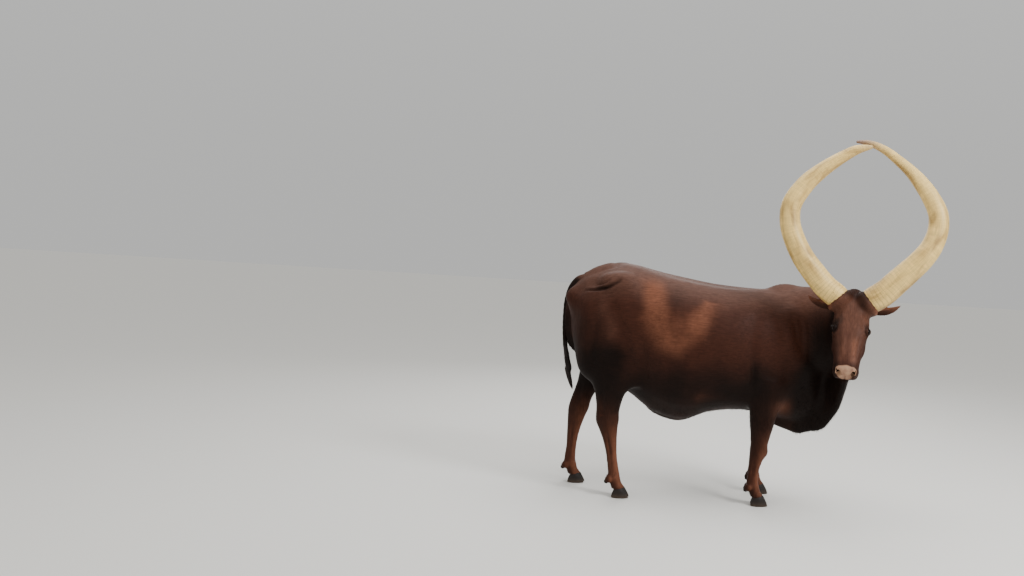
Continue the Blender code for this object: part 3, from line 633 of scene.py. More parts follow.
def fold_body(clay):
    """Bones, hollows, creases and folds of the trunk and neck."""
    for side in SIDES.values():
        # places by x and height, width or radii, depth, lip, taper
        clay.work(lambda rows: clay.flank(side, rows), (
            # hollow between hook bone, last rib and loin, and the hollow before the thigh
            ([(-0.330, 1.235)], (0.085, 0.12, 0.085), 0.018),
            ([(-0.345, 1.10)], (0.070, 0.10, 0.120), 0.010),
            # hook bone, and the creases behind it above the pelvis
            ([(-0.475, 1.335)], (0.060, 0.06, 0.045), -0.011),
            ([(-0.715, 1.235), (-0.650, 1.240), (-0.590, 1.255), (-0.545, 1.277), (-0.500, 1.305)],
             0.0090, 0.013, 0.40),
            ([(-0.650, 1.272), (-0.605, 1.282), (-0.560, 1.308)], 0.007, 0.007, 0.35),
            ([(-0.600, 1.218), (-0.555, 1.228), (-0.515, 1.255)], 0.007, 0.006, 0.35),
            ([(-0.650, 1.275)], (0.070, 0.06, 0.030), 0.010),
            # thigh: groove between its two muscles, and the front edge that runs down to the stifle
            ([(-0.640, 1.175), (-0.640, 1.050), (-0.655, 0.900), (-0.640, 0.780)], 0.030, 0.010, 0.3),
            ([(-0.500, 1.200), (-0.440, 1.080), (-0.400, 0.960), (-0.385, 0.860)], 0.030, -0.007),
            ([(-0.520, 0.870)], (0.045, 0.06, 0.055), 0.012),
            # the fold of skin from the stifle to the belly
            ([(-0.345, 0.930), (-0.325, 0.830), (-0.300, 0.740)], 0.024, 0.009, 0.2),
            # last ribs under the skin
            *(([(x - 0.020, 1.190), (x - 0.005, 1.060), (x + 0.020, 0.920)], 0.020, -0.0022)
              for x in (-0.215, -0.143, -0.071, 0.001)),
            # behind the shoulder, behind the elbow, and the groove along the upper arm
            ([(0.330, 1.200), (0.300, 1.060), (0.300, 0.920), (0.320, 0.820)], 0.045, 0.011),
            ([(0.318, 0.880), (0.322, 0.800), (0.315, 0.720)], 0.020, 0.016, 0.2),
            ([(0.350, 0.840), (0.420, 0.800), (0.500, 0.790)], 0.024, 0.008, 0.3),
            ([(0.400, 0.730)], (0.070, 0.06, 0.080), -0.003),
            # spine of the shoulder blade, the hollow behind it and the point of the shoulder
            ([(0.430, 1.190), (0.470, 1.080), (0.520, 0.960)], 0.024, -0.007),
            ([(0.520, 1.180), (0.560, 1.060), (0.590, 0.940)], 0.026, 0.010),
            ([(0.600, 0.880)], (0.055, 0.06, 0.060), -0.008),
            # hollow beside the tail
            ([(-0.745, 1.235)], (0.045, 0.08, 0.035), 0.010),
            # creases of the turned neck, deeper on the inner side of the bend
            *(([(x - 0.02, 1.150), (x + 0.003, 1.070), (x + 0.012, low)],
               width, (0.0040 if side < 0 else 0.0020) * less, 0.5)
              for x, low, width, less in (
                  (0.590, 0.93, 0.013, 1.0), (0.632, 0.88, 0.010, 0.85), (0.668, 0.94, 0.014, 0.70))),
        ))
    # spine from the withers to the tail head, with a furrow on each side, by x and y
    clay.work(clay.ridge, (
        ([(0.330, 0), (0.150, 0), (-0.100, 0), (-0.300, 0), (-0.450, 0)], 0.016, -0.004),
        *(([(x, side * y) for x, y in rows], width, depth)
          for side in SIDES.values() for rows, width, depth in (
              (((0.280, 0.055), (0.0, 0.06), (-0.300, 0.065)), 0.030, 0.005),
              (((-0.520, 0.06), (-0.640, 0.07), (-0.740, 0.06)), 0.026, 0.008))),
        ([(-0.470, 0), (-0.580, 0), (-0.700, 0)], 0.022, -0.006),
        # the high tail head
        ([(-0.560, 0), (-0.640, 0), (-0.710, 0), (-0.745, 0)], 0.075, -0.026, 0.0, 0.35),
    ))
    # the belly rounds down to the fold under it
    x, y, z = in_trunk(clay.points).T
    beside = step(0.20, 0.07, np.abs(y)) * (1 - np.exp(-(y / 0.028) ** 2)) * step(0.72, 0.60, z)
    clay.points[:, 2] -= 0.030 * beside * np.exp(-((x + 0.19) / 0.20) ** 4) * (z > 0.48)
    # the dewlap hangs in soft pleats and ends in a lobed edge
    x, y, z = in_trunk(clay.points).T
    hanging = step(0.84, 0.64, z) * step(0.52, 0.64, x) * (y > -0.34)
    phase = (5.6 * x - 5.0 * y - 1.6 * z) * 2 * math.pi
    wave = np.sin(phase + 1.6 * np.sin(z * 13)) + 0.3 * np.sin(1.9 * phase + 1.0)
    lobes = hanging * step(0.66, 0.50, z) * 0.007 * np.sin(phase * 0.9 + 2.0)
    clay.points[:, 1] += hanging * 0.0042 * wave
    clay.points[:, 2] += lobes


def clear_tail(clay, bone):
    """Flattens the buttocks below the pin bones, so that the tail hangs free of them."""
    x, _, z = in_trunk(clay.points).T
    away, which = nearest_along(clay.points, bone[::3, :3])
    free = step(0.004, 0.022, away - bone[::3, 3][which])
    clay.points[:, 0] += 0.040 * free * step(-0.56, -0.80, x) * step(0.70, 0.90, z) * step(1.20, 1.04, z)


def shape_legs(clay):
    """Tendons, joints and the cleft between the claws."""
    for leg in LEGS:
        front = leg.startswith("leg_front")
        outer, inner = (middle(leg.replace("leg", "claw") + "_" + part) for part in ("outer", "inner"))
        foot = (outer.x, (outer.y + inner.y) / 2)
        # heights of a groove, how far behind the middle it runs, from how far it is sought, width, depth
        grooves = [((0.262, 0.210, 0.165) if front else (0.400, 0.290, 0.170), 0.22, 0.12, 0.009, 0.006)]
        if not front:
            grooves.append(((0.640, 0.570, 0.500), 0.45, 0.2, 0.015, 0.008))
        for inside in (-1, 1):
            # between the cannon bone and the tendon behind it, and between the hock's point and the shin
            for heights, behind, reach, width, depth in grooves:
                places = []
                for z in heights:
                    centre, half = clay.slice_of(leg, z)
                    start = Vector((centre[0] - behind * half[0], centre[1] + inside * reach, z))
                    places.append(clay.hit(start, Vector((0, -inside, 0))))
                clay.stroke(places, width, depth)
        # knee cap or the front of the hock, and the knobs at its sides and at the fetlock's
        joint = 0.318 if front else 0.470
        centre, half = clay.slice_of(leg, joint)
        clay.dent((centre[0] + half[0], centre[1], joint), (0.03, 0.026, 0.034), -0.005)
        for inside in (-1, 1):
            for level, z, radii, depth in (
                    (joint, joint, (0.022, 0.02, 0.026), -0.004),
                    (0.115, 0.118, (0.020, 0.02, 0.020), -0.003)):
                centre, half = clay.slice_of(leg, level)
                clay.dent((centre[0], centre[1] + inside * half[1], z), radii, depth)
        # the cleft between the claws, in front and behind
        clay.dent((foot[0] + 0.022, foot[1], 0.052), (0.032, 0.006, 0.026), 0.012)
        clay.dent((foot[0] - 0.052, foot[1], 0.060), (0.022, 0.007, 0.026), 0.010)


def shape_face(clay):
    """Crests, hollows and wrinkles of the head that come before the face is refined."""
    for side in SIDES.values():
        # ridge over the eye and the hollow above it, by place down the face and to the left
        clay.work(clay.face, (
            ([(0.150, side * 0.052), (0.190, side * 0.068), (0.232, side * 0.072)], 0.015, -0.008),
            ([(0.150, side * 0.078)], (0.030,) * 3, 0.006),
        ))
        # crest down the cheek, the hollow under it and the jaw's edge, by place down and out of the face
        clay.work(lambda rows: clay.cheek(side, rows), (
            ([(0.265, -0.070), (0.320, -0.080), (0.370, -0.082)], 0.010, -0.004),
            ([(0.250, -0.120), (0.310, -0.115), (0.365, -0.110)], 0.016, 0.005),
            ([(0.200, -0.135)], (0.055, 0.05, 0.055), -0.004),
        ))
        # side of the nasal bone
        clay.work(clay.face, (
            ([(0.270, side * 0.036), (0.340, side * 0.034), (0.410, side * 0.030)], 0.010, -0.0035),
            ([(0.280, side * 0.058), (0.350, side * 0.052), (0.420, side * 0.046)], 0.012, 0.004),
        ))
        # a vein that runs from under the eye to the cheek
        clay.stroke(clay.cheek(side, [(0.255, -0.085), (0.285, -0.100), (0.300, -0.125)]), 0.0045, -0.002)
    # the shallow dish between the brows, and the parting above it
    clay.work(clay.face, (
        ([(0.190, 0.0)], (0.050, 0.04, 0.05), 0.005),
        ([(0.040, 0.0), (0.090, 0.0), (0.150, 0.0)], 0.010, 0.003),
    ))


def thinned(made, coat):
    """Thins the skin, least on the head and feet."""
    points = points_of(made.data)
    local = in_trunk(points)
    fine = np.maximum(headness(points), step(0.16, 0.10, local[:, 2]))
    group = made.vertex_groups.new(name="plain")
    levels = np.round((1 - 0.985 * fine) * 20).astype(int)
    for level in range(0, 21):
        group.add(np.flatnonzero(levels == level).tolist(), level / 20, "REPLACE")
    thin = made.modifiers.new("Thin", "DECIMATE")
    thin.ratio = min(coat.triangles / (2 * len(made.data.polygons)), 1.0)
    thin.vertex_group = "plain"
    thin.vertex_group_factor = 1.0
    thin.use_collapse_triangulate = True
    apply_all(made)
    made.vertex_groups.clear()


def eye_axes(side):
    """Centre of an eye, and rows for its corner axis, its upward axis and its gaze."""
    word = "right" if side < 0 else "left"
    gaze = Vector((0.12, side * 0.74, 0.64)).normalized()
    corner = Vector((1.0, 0.0, -0.25))
    corner = (corner - gaze * corner.dot(gaze)).normalized()
    up = corner.cross(gaze) * side
    turn = SKULL
    return np.array(middle(f"eye_{word}")), np.array([turn @ corner, turn @ up, turn @ gaze])


def eye_radius():
    """Radius of the eyeballs, from their solids."""
    low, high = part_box("eye_right")
    return (high - low).z / 2


def arch(b, eyes):
    """Half the height of the gap between the lids: the upper lid is more arched."""
    return np.where(b > 0, eyes.half_height * 1.08, eyes.half_height * 0.92)


def gap_share(a, b, eyes):
    """Below 1 in the gap between the lids, 1 at their edges, above 1 outside."""
    return np.sqrt((np.abs(a) / eyes.half_length) ** 2.0 + (np.abs(b) / arch(b, eyes)) ** 2.0)


def refined(made, centre, radius, rounds):
    """Splits each triangle near a place into four, so many times."""
    body = bmesh.new()
    body.from_mesh(made.data)
    for _ in range(rounds):
        near = [edge for edge in body.edges if (edge.verts[0].co - Vector(centre)).length < radius]
        bmesh.ops.subdivide_edges(body, edges=near, cuts=1)
        bmesh.ops.triangulate(body, faces=[face for face in body.faces if len(face.verts) > 3])
    body.to_mesh(made.data)
    body.free()


def open_lids(made, eyes):
    """Wraps the skin round each eyeball as two lids with a fold above and fine lines below."""
    radius = eye_radius()
    for side in SIDES.values():
        centre, axes = eye_axes(side)
        refined(made, centre, 0.036, 1)
        points = points_of(made.data)
        away = (points - centre) @ axes.T
        distance = np.linalg.norm(away, axis=1)
        near = np.flatnonzero((distance < 0.060) & (away[:, 2] > 0.15 * distance))
        a, b, _ = (away[near] / distance[near, None] * radius).T
        share = gap_share(a, b, eyes)
        over = b > 0
        lid = radius + eyes.lid * (0.55 + 0.45 * step(1.0, 1.25, share))
        # the fold over the upper lid and two fine lines under the lower one
        lid -= 0.0030 * np.exp(-((share - 2.05) / 0.16) ** 2) * over
        lid += 0.0016 * np.exp(-((share - 1.60) / 0.25) ** 2) * over
        lid -= 0.0016 * np.exp(-((share - 1.75) / 0.10) ** 2) * ~over
        lid -= 0.0012 * np.exp(-((share - 2.20) / 0.12) ** 2) * ~over
        target = np.where(share < 1.0, radius - 0.0020, lid)
        keep = step(1.7, 2.7, share)
        wanted = target * (1 - keep) + distance[near] * keep
        points[near] = centre + (away[near] * (wanted / distance[near])[:, None]) @ axes
        place(made.data, points)


def nostrils(points):
    """How deep in a nostril points are, up to 1: a round pit, and a slit that curls up and out from it."""
    u, v, w = in_head(points).T
    out = np.abs(v)

    def oval(ca, cw, along, across, turn):
        """A soft oval on the front of the muzzle, its long axis turned up from sideways."""
        a = (out - ca) * math.cos(turn) + (w - cw) * math.sin(turn)
        b = (w - cw) * math.cos(turn) - (out - ca) * math.sin(turn)
        return np.exp(-(a / along) ** 2 - (b / across) ** 2)

    pit = oval(0.040, -0.064, 0.0125, 0.0100, 0.6)
    slit = oval(0.051, -0.055, 0.0085, 0.0042, 1.0)
    return np.maximum(pit, 0.45 * slit) * headness(points) * step(0.440, 0.462, u)


def shape_muzzle(made):
    """Nostrils, mouth, lips and the lines of the nose pad."""
    refined(made, HEAD @ Vector((0.480, 0.0, -0.095)), 0.080, 1)
    clay = Clay(made)
    for side in SIDES.values():
        # the wings over and beside the nostril, and the lip below it
        for down, across, out, radii, height in (
                (0.482, 0.040, -0.041, (0.022, 0.018, 0.009), 0.0040),
                (0.494, 0.060, -0.074, (0.022, 0.010, 0.014), 0.0040),
                (0.505, 0.045, -0.098, (0.022, 0.022, 0.012), 0.0035)):
            clay.dent(HEAD @ Vector((down, side * across, out)), radii, -height, SKULL)
    inward = np.array(SKULL @ Vector((-1.0, 0.0, 0.15)))
    clay.points += 0.022 * nostrils(clay.points)[:, None] * inward
    # the groove between the lips, from corner to corner
    inside = Vector((0.420, 0.0, -0.1215))
    line = []
    for angle in np.radians(np.linspace(-96, 96, 25)).tolist():
        way = Vector((math.cos(angle), math.sin(angle), 0.0))
        start = HEAD @ (inside + way * 0.2 - Vector((0, 0, 0.003 * math.cos(angle * 2))))
        line.append(clay.hit(start, SKULL @ -way))
    clay.stroke(line, 0.0042, 0.0065, 0.25, 0.2)
    # the parting under the nose pad and its pebbled lines
    parting = [HEAD @ Vector((0.512, 0.0, w)) for w in (-0.070, -0.085, -0.100, -0.112)]
    clay.stroke(parting, 0.0028, 0.0022)
    u, v, w = in_head(clay.points).T
    pad = step(0.470, 0.492, u) * step(0.055, 0.045, np.abs(v)) * step(-0.125, -0.115, w)
    clay.press(pad * 0.0005 * noise(clay.points, 0.008, 31, 2))
    clay.set()


def marks_of(points, normals):
    """How warm, plum, dark and bare the skin is and which way its hair runs, from a point's place; much of
    the warm is painted sunlight, the plum painted sky reflection and light, and the dark painted shade.
    """
    x, y, z = in_trunk(points).T
    u, v, w = in_head(points).T
    head = headness(points)
    body = 1 - head
    side = np.abs(y)
    broken = noise(points, 0.16, 5)
    ahead = step(-0.2, 0.8, normals[:, 0])
    flank = step(0.08, 0.20, side) * body

    def oval(cx, cz, rx, rz):
        """A soft oval seen from the side."""
        return np.exp(-((x - cx) / rx) ** 2 - ((z - cz) / rz) ** 2)

    def band(rows):
        """A soft band on both flanks along places given as x, height and half width."""
        strength = np.zeros(len(x))
        for (ax, az, aw), (bx, bz, bw) in zip(rows, rows[1:]):
            run = (bx - ax, bz - az)
            t = np.clip(((x - ax) * run[0] + (z - az) * run[1]) / (run[0] ** 2 + run[1] ** 2), 0, 1)
            away = np.hypot(x - ax - t * run[0], z - az - t * run[1]) * (1 + 0.14 * broken)
            strength = np.maximum(strength, step(1.35, 0.15, away / (aw + t * (bw - aw))))
        return strength * flank

    # a wide soft horseshoe of painted sunlight on the barrel, open at the top, brighter higher up
    sunlit_arc = band((
        (-0.297, 1.330, 0.088), (-0.284, 1.180, 0.104), (-0.245, 1.055, 0.116), (-0.195, 0.985, 0.108),
        (-0.140, 0.962, 0.100), (-0.085, 0.995, 0.098), (-0.045, 1.050, 0.096), (-0.010, 1.105, 0.092),
        (0.022, 1.160, 0.072), (0.036, 1.205, 0.050)))
    sunlit_arc = np.maximum(sunlit_arc, 0.95 * oval(-0.150, 1.040, 0.120, 0.095) * flank)
    crease_shade = band((
        (-0.715, 1.235, 0.013), (-0.650, 1.240, 0.014), (-0.590, 1.255, 0.015), (-0.545, 1.277, 0.014),
        (-0.500, 1.305, 0.012)))
    # a dull red patch low on the barrel, a painted highlight where the foreleg meets the chest, and a painted
    # highlight on the thigh
    low_patch = oval(0.02, 0.645, 0.055, 0.045) * body * (side > 0.05)
    breast_highlight = oval(0.50, 0.605, 0.075, 0.065) * step(0.05, 0.10, side) * body
    thigh_highlight = flank * (oval(-0.60, 1.13, 0.05, 0.08) + oval(-0.53, 1.02, 0.05, 0.08))
    # redder shins, with painted light along their fronts
    shin = step(0.66, 0.30, z + 0.03 * broken) * body
    warm = (0.46 + 0.16 * step(1.0, 1.2, z)) * sunlit_arc + 0.34 * low_patch + 0.10 * thigh_highlight + 0.50 * breast_highlight
    warm += shin * (0.14 + 0.42 * ahead) + 0.14 * body * step(0.66, 0.55, z) * (x < -0.3)
    # painted reflection of the sky: lighter plum along the back and over the upper barrel, with the painted
    # highlight on the thigh
    plum = 0.30 * thigh_highlight + body * step(1.12, 1.36, z)
    plum += 0.25 * body * step(0.88, 1.2, z) * step(-0.35, 0.25, x)
    # painted shade: near black under the belly, on the neck beside the head, behind the elbow and in front of
    # the thigh, and darker on the rear of the thighs and the backs of the shins; the feet are darker near the
    # ground
    dark = body * 0.85 * step(1.02, 0.66, z + 0.03 * broken) * step(0.16, 0.66, z + 0.04 * broken)
    dark *= 1 - 0.30 * step(-0.45, -0.60, x) * step(0.80, 0.55, z)
    dark += body * 0.90 * step(0.54, 0.72, x) * step(1.30, 1.05, z)
    dark += body * (side > 0.10) * (0.28 * oval(0.33, 0.80, 0.05, 0.10) + 0.6 * oval(-0.50, 0.86, 0.08, 0.08))
    dark += body * 0.45 * step(-0.45, -0.62, x) * step(1.25, 1.0, z) * step(0.5, 0.7, z)
    dark += body * 0.28 * shin * step(0.2, -0.5, normals[:, 0]) + body * 0.25 * step(0.16, 0.08, z)
    # the tail is near black from its root, and the cleft behind it darker than the rest
    rooted = step(0.050, 0.024, np.abs(y + 0.008)) * step(-0.735, -0.785, x) * step(1.33, 1.28, z)
    dark += 0.9 * body * rooted * (0.35 + 0.65 * step(1.12, 1.22, z))
    # painted shade in the creases over the hips and in the hollow inside the horseshoe
    hollow = oval(-0.60, 1.255, 0.07, 0.022) + oval(-0.165, 1.225, 0.060, 0.085)
    dark += flank * 0.35 * hollow + 0.45 * crease_shade - 0.30 * low_patch - 0.45 * breast_highlight
    # the head: darker round the horns, and painted shade on the cheeks, throat, mouth and the animal's right
    # side of the face; painted light on the front of the face and a painted highlight on the bridge of the
    # nose
    crown = step(0.080, 0.010, u) * step(0.125, 0.095, np.abs(v))
    dark += head * (0.75 * step(-0.05, -0.17, w) * step(0.47, 0.36, u) + 0.30 * crown)
    dark += head * 0.42 * np.exp(-((v - 0.050) / 0.036) ** 2 - ((u - 0.080) / 0.055) ** 2)
    dark += head * 0.22 * step(0.28, 0.16, u) + head * 0.35 * step(0.42, 0.47, u)
    dark += head * 0.45 * step(-0.035, -0.060, v) * step(0.12, 0.20, u)
    # painted light on the front of the face and a painted highlight down the bridge of the nose; the inner
    # ears are redder
    face = head * step(-0.06, 0.01, w + 0.30 * np.abs(v)) * (1 - crown)
    bridge_highlight = face * np.exp(-((v - 0.030) / 0.022) ** 2) * step(0.27, 0.35, u) * step(0.47, 0.43, u)
    ear = head * step(0.115, 0.135, np.abs(v)) * step(0.14, 0.10, u)
    warm += 0.30 * face + 0.40 * bridge_highlight + 0.35 * ear
    plum += 0.60 * face + 0.60 * bridge_highlight
    dark -= 0.15 * ear
    # bare skin: the nose pad, broad over the nostrils and narrow at the lip, with painted shade inside the
    # nostrils
    dip = 0.474 - 0.20 * np.maximum(0.0, 0.026 - np.abs(v)) + 0.25 * np.maximum(0.0, np.abs(v) - 0.045)
    wide = 0.059 + 0.75 * np.minimum(0.0, w + 0.066)
    pad = head * step(dip - 0.005, dip + 0.008, u + 0.20 * (w + 0.08)) * step(-0.119, -0.111, w)
    pad *= step(wide + 0.004, wide - 0.006, np.abs(v))
    pit = step(0.22, 0.55, nostrils(points))
    pad *= 1 - pit
    dark += 1.2 * pit
    bare = 0.95 * pad * (1 - 0.45 * step(0.005, 0.045, v) * step(-0.060, -0.080, w))
    bare *= 1 - 0.40 * np.exp(-(v / 0.007) ** 2) * step(-0.070, -0.085, w)
    for sign in SIDES.values():
        # dark skin round the gap, with a paler rim under the far eye only: painted light on the lit side of
        # the face, over bare lid skin
        centre, axes = eye_axes(sign)
        away = (points - centre) @ axes.T
        distance = np.maximum(np.linalg.norm(away, axis=1), 1e-6)
        dark += 0.5 * step(0.040, 0.022, distance) * (away[:, 2] > 0)
        if sign > 0:
            rim = step(0.030, 0.022, distance) * step(-0.004, -0.012, away[:, 1])
            bare = np.maximum(bare, 0.45 * rim)
    # hair runs back along the trunk, down the legs and down the face
    down = body * np.maximum(step(0.80, 0.60, z), step(-0.62, -0.76, x))
    marks = {"warm": warm * (1 - bare), "plum": plum, "dark": dark * (1 - bare), "bare": bare, "down": down}
    return {name: np.clip(values, 0, 1) for name, values in marks.items()} | {"face": head}


def lie_of(points, normals):
    """The way the hair points at each place, along the skin."""
    x, _, z = in_trunk(points).T
    head = headness(points)[:, None]
    back = np.stack((-np.ones(len(x)), np.zeros(len(x)), -0.35 - 0.9 * step(1.15, 0.85, z)), 1)
    leg = np.tile((-0.15, 0.0, -1.0), (len(x), 1))
    low = np.maximum(step(0.80, 0.60, z), step(-0.62, -0.78, x))[:, None]
    way = back * (1 - low) + leg * low
    face = np.tile(np.array(SKULL @ Vector((0.9, 0.0, -0.25))), (len(x), 1))
    way = way * (1 - head) + face * head
    way -= normals * (way * normals).sum(1)[:, None]
    return way / np.maximum(np.linalg.norm(way, axis=1), 1e-6)[:, None]


def unwrapped(skin):
    """The middle of each of the skin's triangles on an unwrap of the skin's own shape."""
    only(skin)
    layer = skin.data.uv_layers.new(name="hide")
    bpy.ops.object.mode_set(mode="EDIT")
    bpy.ops.mesh.select_all(action="SELECT")
    bpy.ops.uv.smart_project(angle_limit=math.radians(66), island_margin=0.002)
    bpy.ops.object.mode_set(mode="OBJECT")
    layer = skin.data.uv_layers["hide"]
    corners = read(layer.uv, "vector", 2)
    skin.data.uv_layers.remove(layer)
    return corners.reshape(-1, 3, 2).mean(1)


class Pelt:
    """The finished skin as something that tufts grow on."""

    def __init__(self, skin):
        mesh = skin.data
        self.points = points_of(mesh)
        self.normals = read(mesh.vertex_normals, "vector", 3)
        self.faces = read(mesh.loops, "vertex_index", 1, np.int32).reshape(-1, 3)
        a, b, c = (self.points[self.faces[:, k]] for k in range(3))
        self.areas = np.linalg.norm(np.cross(b - a, c - a), axis=1) / 2
        self.centres = (a + b + c) / 3
        self.facing = self.normals[self.faces].mean(1)
        self.tree = BVHTree.FromObject(skin, bpy.context.evaluated_depsgraph_get())
        self.hide = unwrapped(skin)

    def scatter(self, count, density, seed):
        """Random roots on the skin, more of them where density is high: places, normals and triangles."""
        draw = np.random.default_rng(seed)
        weight = self.areas * np.maximum(density, 0)
        chosen = draw.choice(len(weight), count, p=weight / weight.sum())
        share = draw.dirichlet((1, 1, 1), count)
        corners = self.faces[chosen]
        roots = (self.points[corners] * share[:, :, None]).sum(1)
        normals = (self.normals[corners] * share[:, :, None]).sum(1)
        return roots, normals / np.linalg.norm(normals, axis=1)[:, None], chosen

    def under(self, roots):
        """The skin's triangle nearest to each root."""
        return np.array([self.tree.find_nearest(root)[2] for root in roots.tolist()])


def strands(name, pelt, lines, sides, widths, chosen, flat=0.5):
    """Closed tapering three-sided strands along lines, with the skin's marks and its unwrap at their roots.

    lines holds the points of every strand, sides the way each is widest, widths how wide each root is.
    """
    count, joints = lines.shape[:2]
    along = np.gradient(lines, axis=1)
    along /= np.linalg.norm(along, axis=2)[:, :, None]
    across = np.repeat(sides[:, None, :], joints, 1)
    across -= along * (across * along).sum(2)[:, :, None]
    across /= np.maximum(np.linalg.norm(across, axis=2)[:, :, None], 1e-9)
    other = np.cross(along, across)
    taper = (1 - np.linspace(0, 1, joints) ** 1.6)[:-1]
    rows = []
    for turn in (math.radians(90), math.radians(210), math.radians(330)):
        reach = (widths[:, None] / 2 * taper)[:, :, None]
        edge = math.cos(turn) * across[:, :-1] + flat * math.sin(turn) * other[:, :-1]
        rows.append(lines[:, :-1] + reach * edge)
    rings = np.stack(rows, 2).reshape(count, -1, 3)
    points = np.concatenate((rings, lines[:, -1:]), 1)
    each = points.shape[1]
    pattern = [(0, 2, 1)]
    for ring in range(joints - 2):
        low = 3 * ring
        for k in range(3):
            m = (k + 1) % 3
            pattern += [(low + k, low + m, low + 3 + m), (low + k, low + 3 + m, low + 3 + k)]
    last = each - 4
    pattern += [(last + k, last + (k + 1) % 3, each - 1) for k in range(3)]
    faces = (np.arange(count) * each)[:, None, None] + np.array(pattern)
    made = mesh_of(name, points.reshape(-1, 3), faces.reshape(-1, 3))
    made.data.name = name
    share = np.concatenate((np.repeat(np.linspace(0, 1, joints)[:-1], 3), [1.0]))
    roots = lines[:, 0]
    for key, values in marks_of(roots, pelt.facing[chosen]).items():
        mark(made.data, key, np.repeat(values, each))
    mark(made.data, "tip", np.tile(share, count))
    # each strand is a patch 3 thousandths across at its root's place on the skin's unwrap
    around = np.concatenate((np.tile((0.0, 0.5, 1.0), joints - 1), [0.5]))
    patch = 0.003 * (np.stack((share, around), 1) - 0.5)
    flat_places = (pelt.hide[chosen][:, None, :] + patch[None]).reshape(-1, 2)
    layer = made.data.uv_layers.new(name="OFBake")
    corners = read(made.data.loops, "vertex_index", 1, np.int32)
    layer.uv.foreach_set("vector", np.clip(flat_places[corners], 0.001, 0.999).astype(np.float32).ravel())
    return made


def bent(roots, ways, normals, lengths, lift, sway, joints=3, sink=0.001):
    """Lines of tufts that run along the hair, rise by lift and bend by sway, and their sideways."""
    sides = np.cross(normals, ways)
    share = np.linspace(0, 1, joints)[None, :, None]
    reach = lengths[:, None, None]
    lines = roots[:, None] - normals[:, None] * sink + ways[:, None] * reach * share
    lines = lines + normals[:, None] * reach * lift[:, None, None] * share * (1.5 - 0.5 * share)
    return lines + sides[:, None] * reach * sway[:, None, None] * share ** 2, sides


def mark_coat(mesh, marks):
    """Writes the marks on a mesh."""
    for name, values in marks.items():
        mark(mesh, name, values)


def coat_material(coat):
    """Short cattle hair, sleek with its own grease: satin, streaked along its lie, brown with pale tips."""
    material, tree, shader = new_material(
        "Sleek cattle hair", IOR=1.36, Specular_IOR_Level=0.14, Sheen_Weight=0.03, Sheen_Roughness=0.4,
        Sheen_Tint=linear("#C9A9A0"))
    where = add(tree, "TexCoord").outputs["Object"]
    marks = {}
    for name in ("warm", "plum", "dark", "bare", "down", "face"):
        marks[name] = add(tree, "Attribute", {"attribute_name": name}).outputs["Fac"]

    # streaks of hair clumps, 7 mm wide and 70 mm long: real clumps are half that, too fine to show
    streaks = []
    for turn, scale, twist in (
            ((0, 0, 0), (14, 140, 140), 0.4), ((0, 0, 0), (140, 140, 14), 0.4),
            (SKULL.inverted().to_euler(), (22, 190, 190), 0.0)):
        mapping = add(tree, "Mapping", {}, Vector=where, Rotation=turn)
        mapping = add(tree, "Mapping", {}, Vector=mapping, Scale=scale)
        streaks.append(add(tree, "TexNoise", {}, Vector=mapping, Scale=1.0, Detail=3.0, Distortion=twist))
    hair = add(tree, "Mix", NUMBERS, marks["down"], streaks[0], streaks[1])
    hair = add(tree, "Mix", NUMBERS, marks["face"], hair, streaks[2])
    broad = add(tree, "TexNoise", {}, Vector=where, Scale=7.0, Detail=4.0)
    mottle = add(tree, "TexNoise", {}, Vector=where, Scale=45.0, Detail=3.0)

    # the marks have soft broken edges
    wander = add(tree, "Math", TIMES, add(tree, "Math", MINUS, broad, 0.5), 0.5)
    colour = linear(coat.brown)
    # plum adds painted sky reflection and painted light, warm partly painted sunlight, and dark mostly
    # painted shade, from the skin's marks
    for name, shown in (("plum", coat.plum), ("warm", coat.warm), ("dark", coat.dark)):
        edge = add(tree, "MapRange", SOFT, add(tree, "Math", PLUS, marks[name], wander), 0.0, 1.0)
        colour = add(tree, "Mix", COLOURS, edge, colour, linear(shown))
    for source, low, high, least, most in ((hair, 0.25, 0.75, 0.79, 1.22), (mottle, 0.3, 0.7, 0.91, 1.09)):
        shade = add(tree, "MapRange", {}, source, low, high, least, most)
        grey = add(tree, "CombineColor", {}, shade, shade, shade)
        colour = add(tree, "Mix", {**COLOURS, "blend_type": "MULTIPLY"}, 1.0, colour, grey)
    bare = add(tree, "Mix", COLOURS, mottle, linear(coat.bare), linear("#7E574B"))
    blotch = add(tree, "Math", TIMES, add(tree, "Math", MINUS, mottle, 0.5), 1.1)
    edge = add(tree, "MapRange", SOFT, add(tree, "Math", PLUS, marks["bare"], blotch), 0.30, 0.75)
    edge = add(tree, "Math", TIMES, edge, marks["bare"])
    colour = add(tree, "Mix", COLOURS, edge, colour, bare)
    tree.links.new(colour.outputs["Result"], shader.inputs["Base Color"])
    rough = add(tree, "MapRange", {}, hair, 0.3, 0.7, 0.62, 0.46)
    tree.links.new(rough.outputs[0], shader.inputs["Roughness"])
    # hair clumps stand 0.8 mm proud; the bare pad is pebbled in cells of 3.5 mm
    pebble = add(tree, "TexVoronoi", {}, Vector=where, Scale=285.0)
    height = add(tree, "Mix", NUMBERS, marks["bare"], hair, pebble)
    bump = add(tree, "Bump", {}, Strength=0.9, Distance=0.0012, Height=height)
    tree.links.new(bump.outputs[0], shader.inputs["Normal"])
    return material


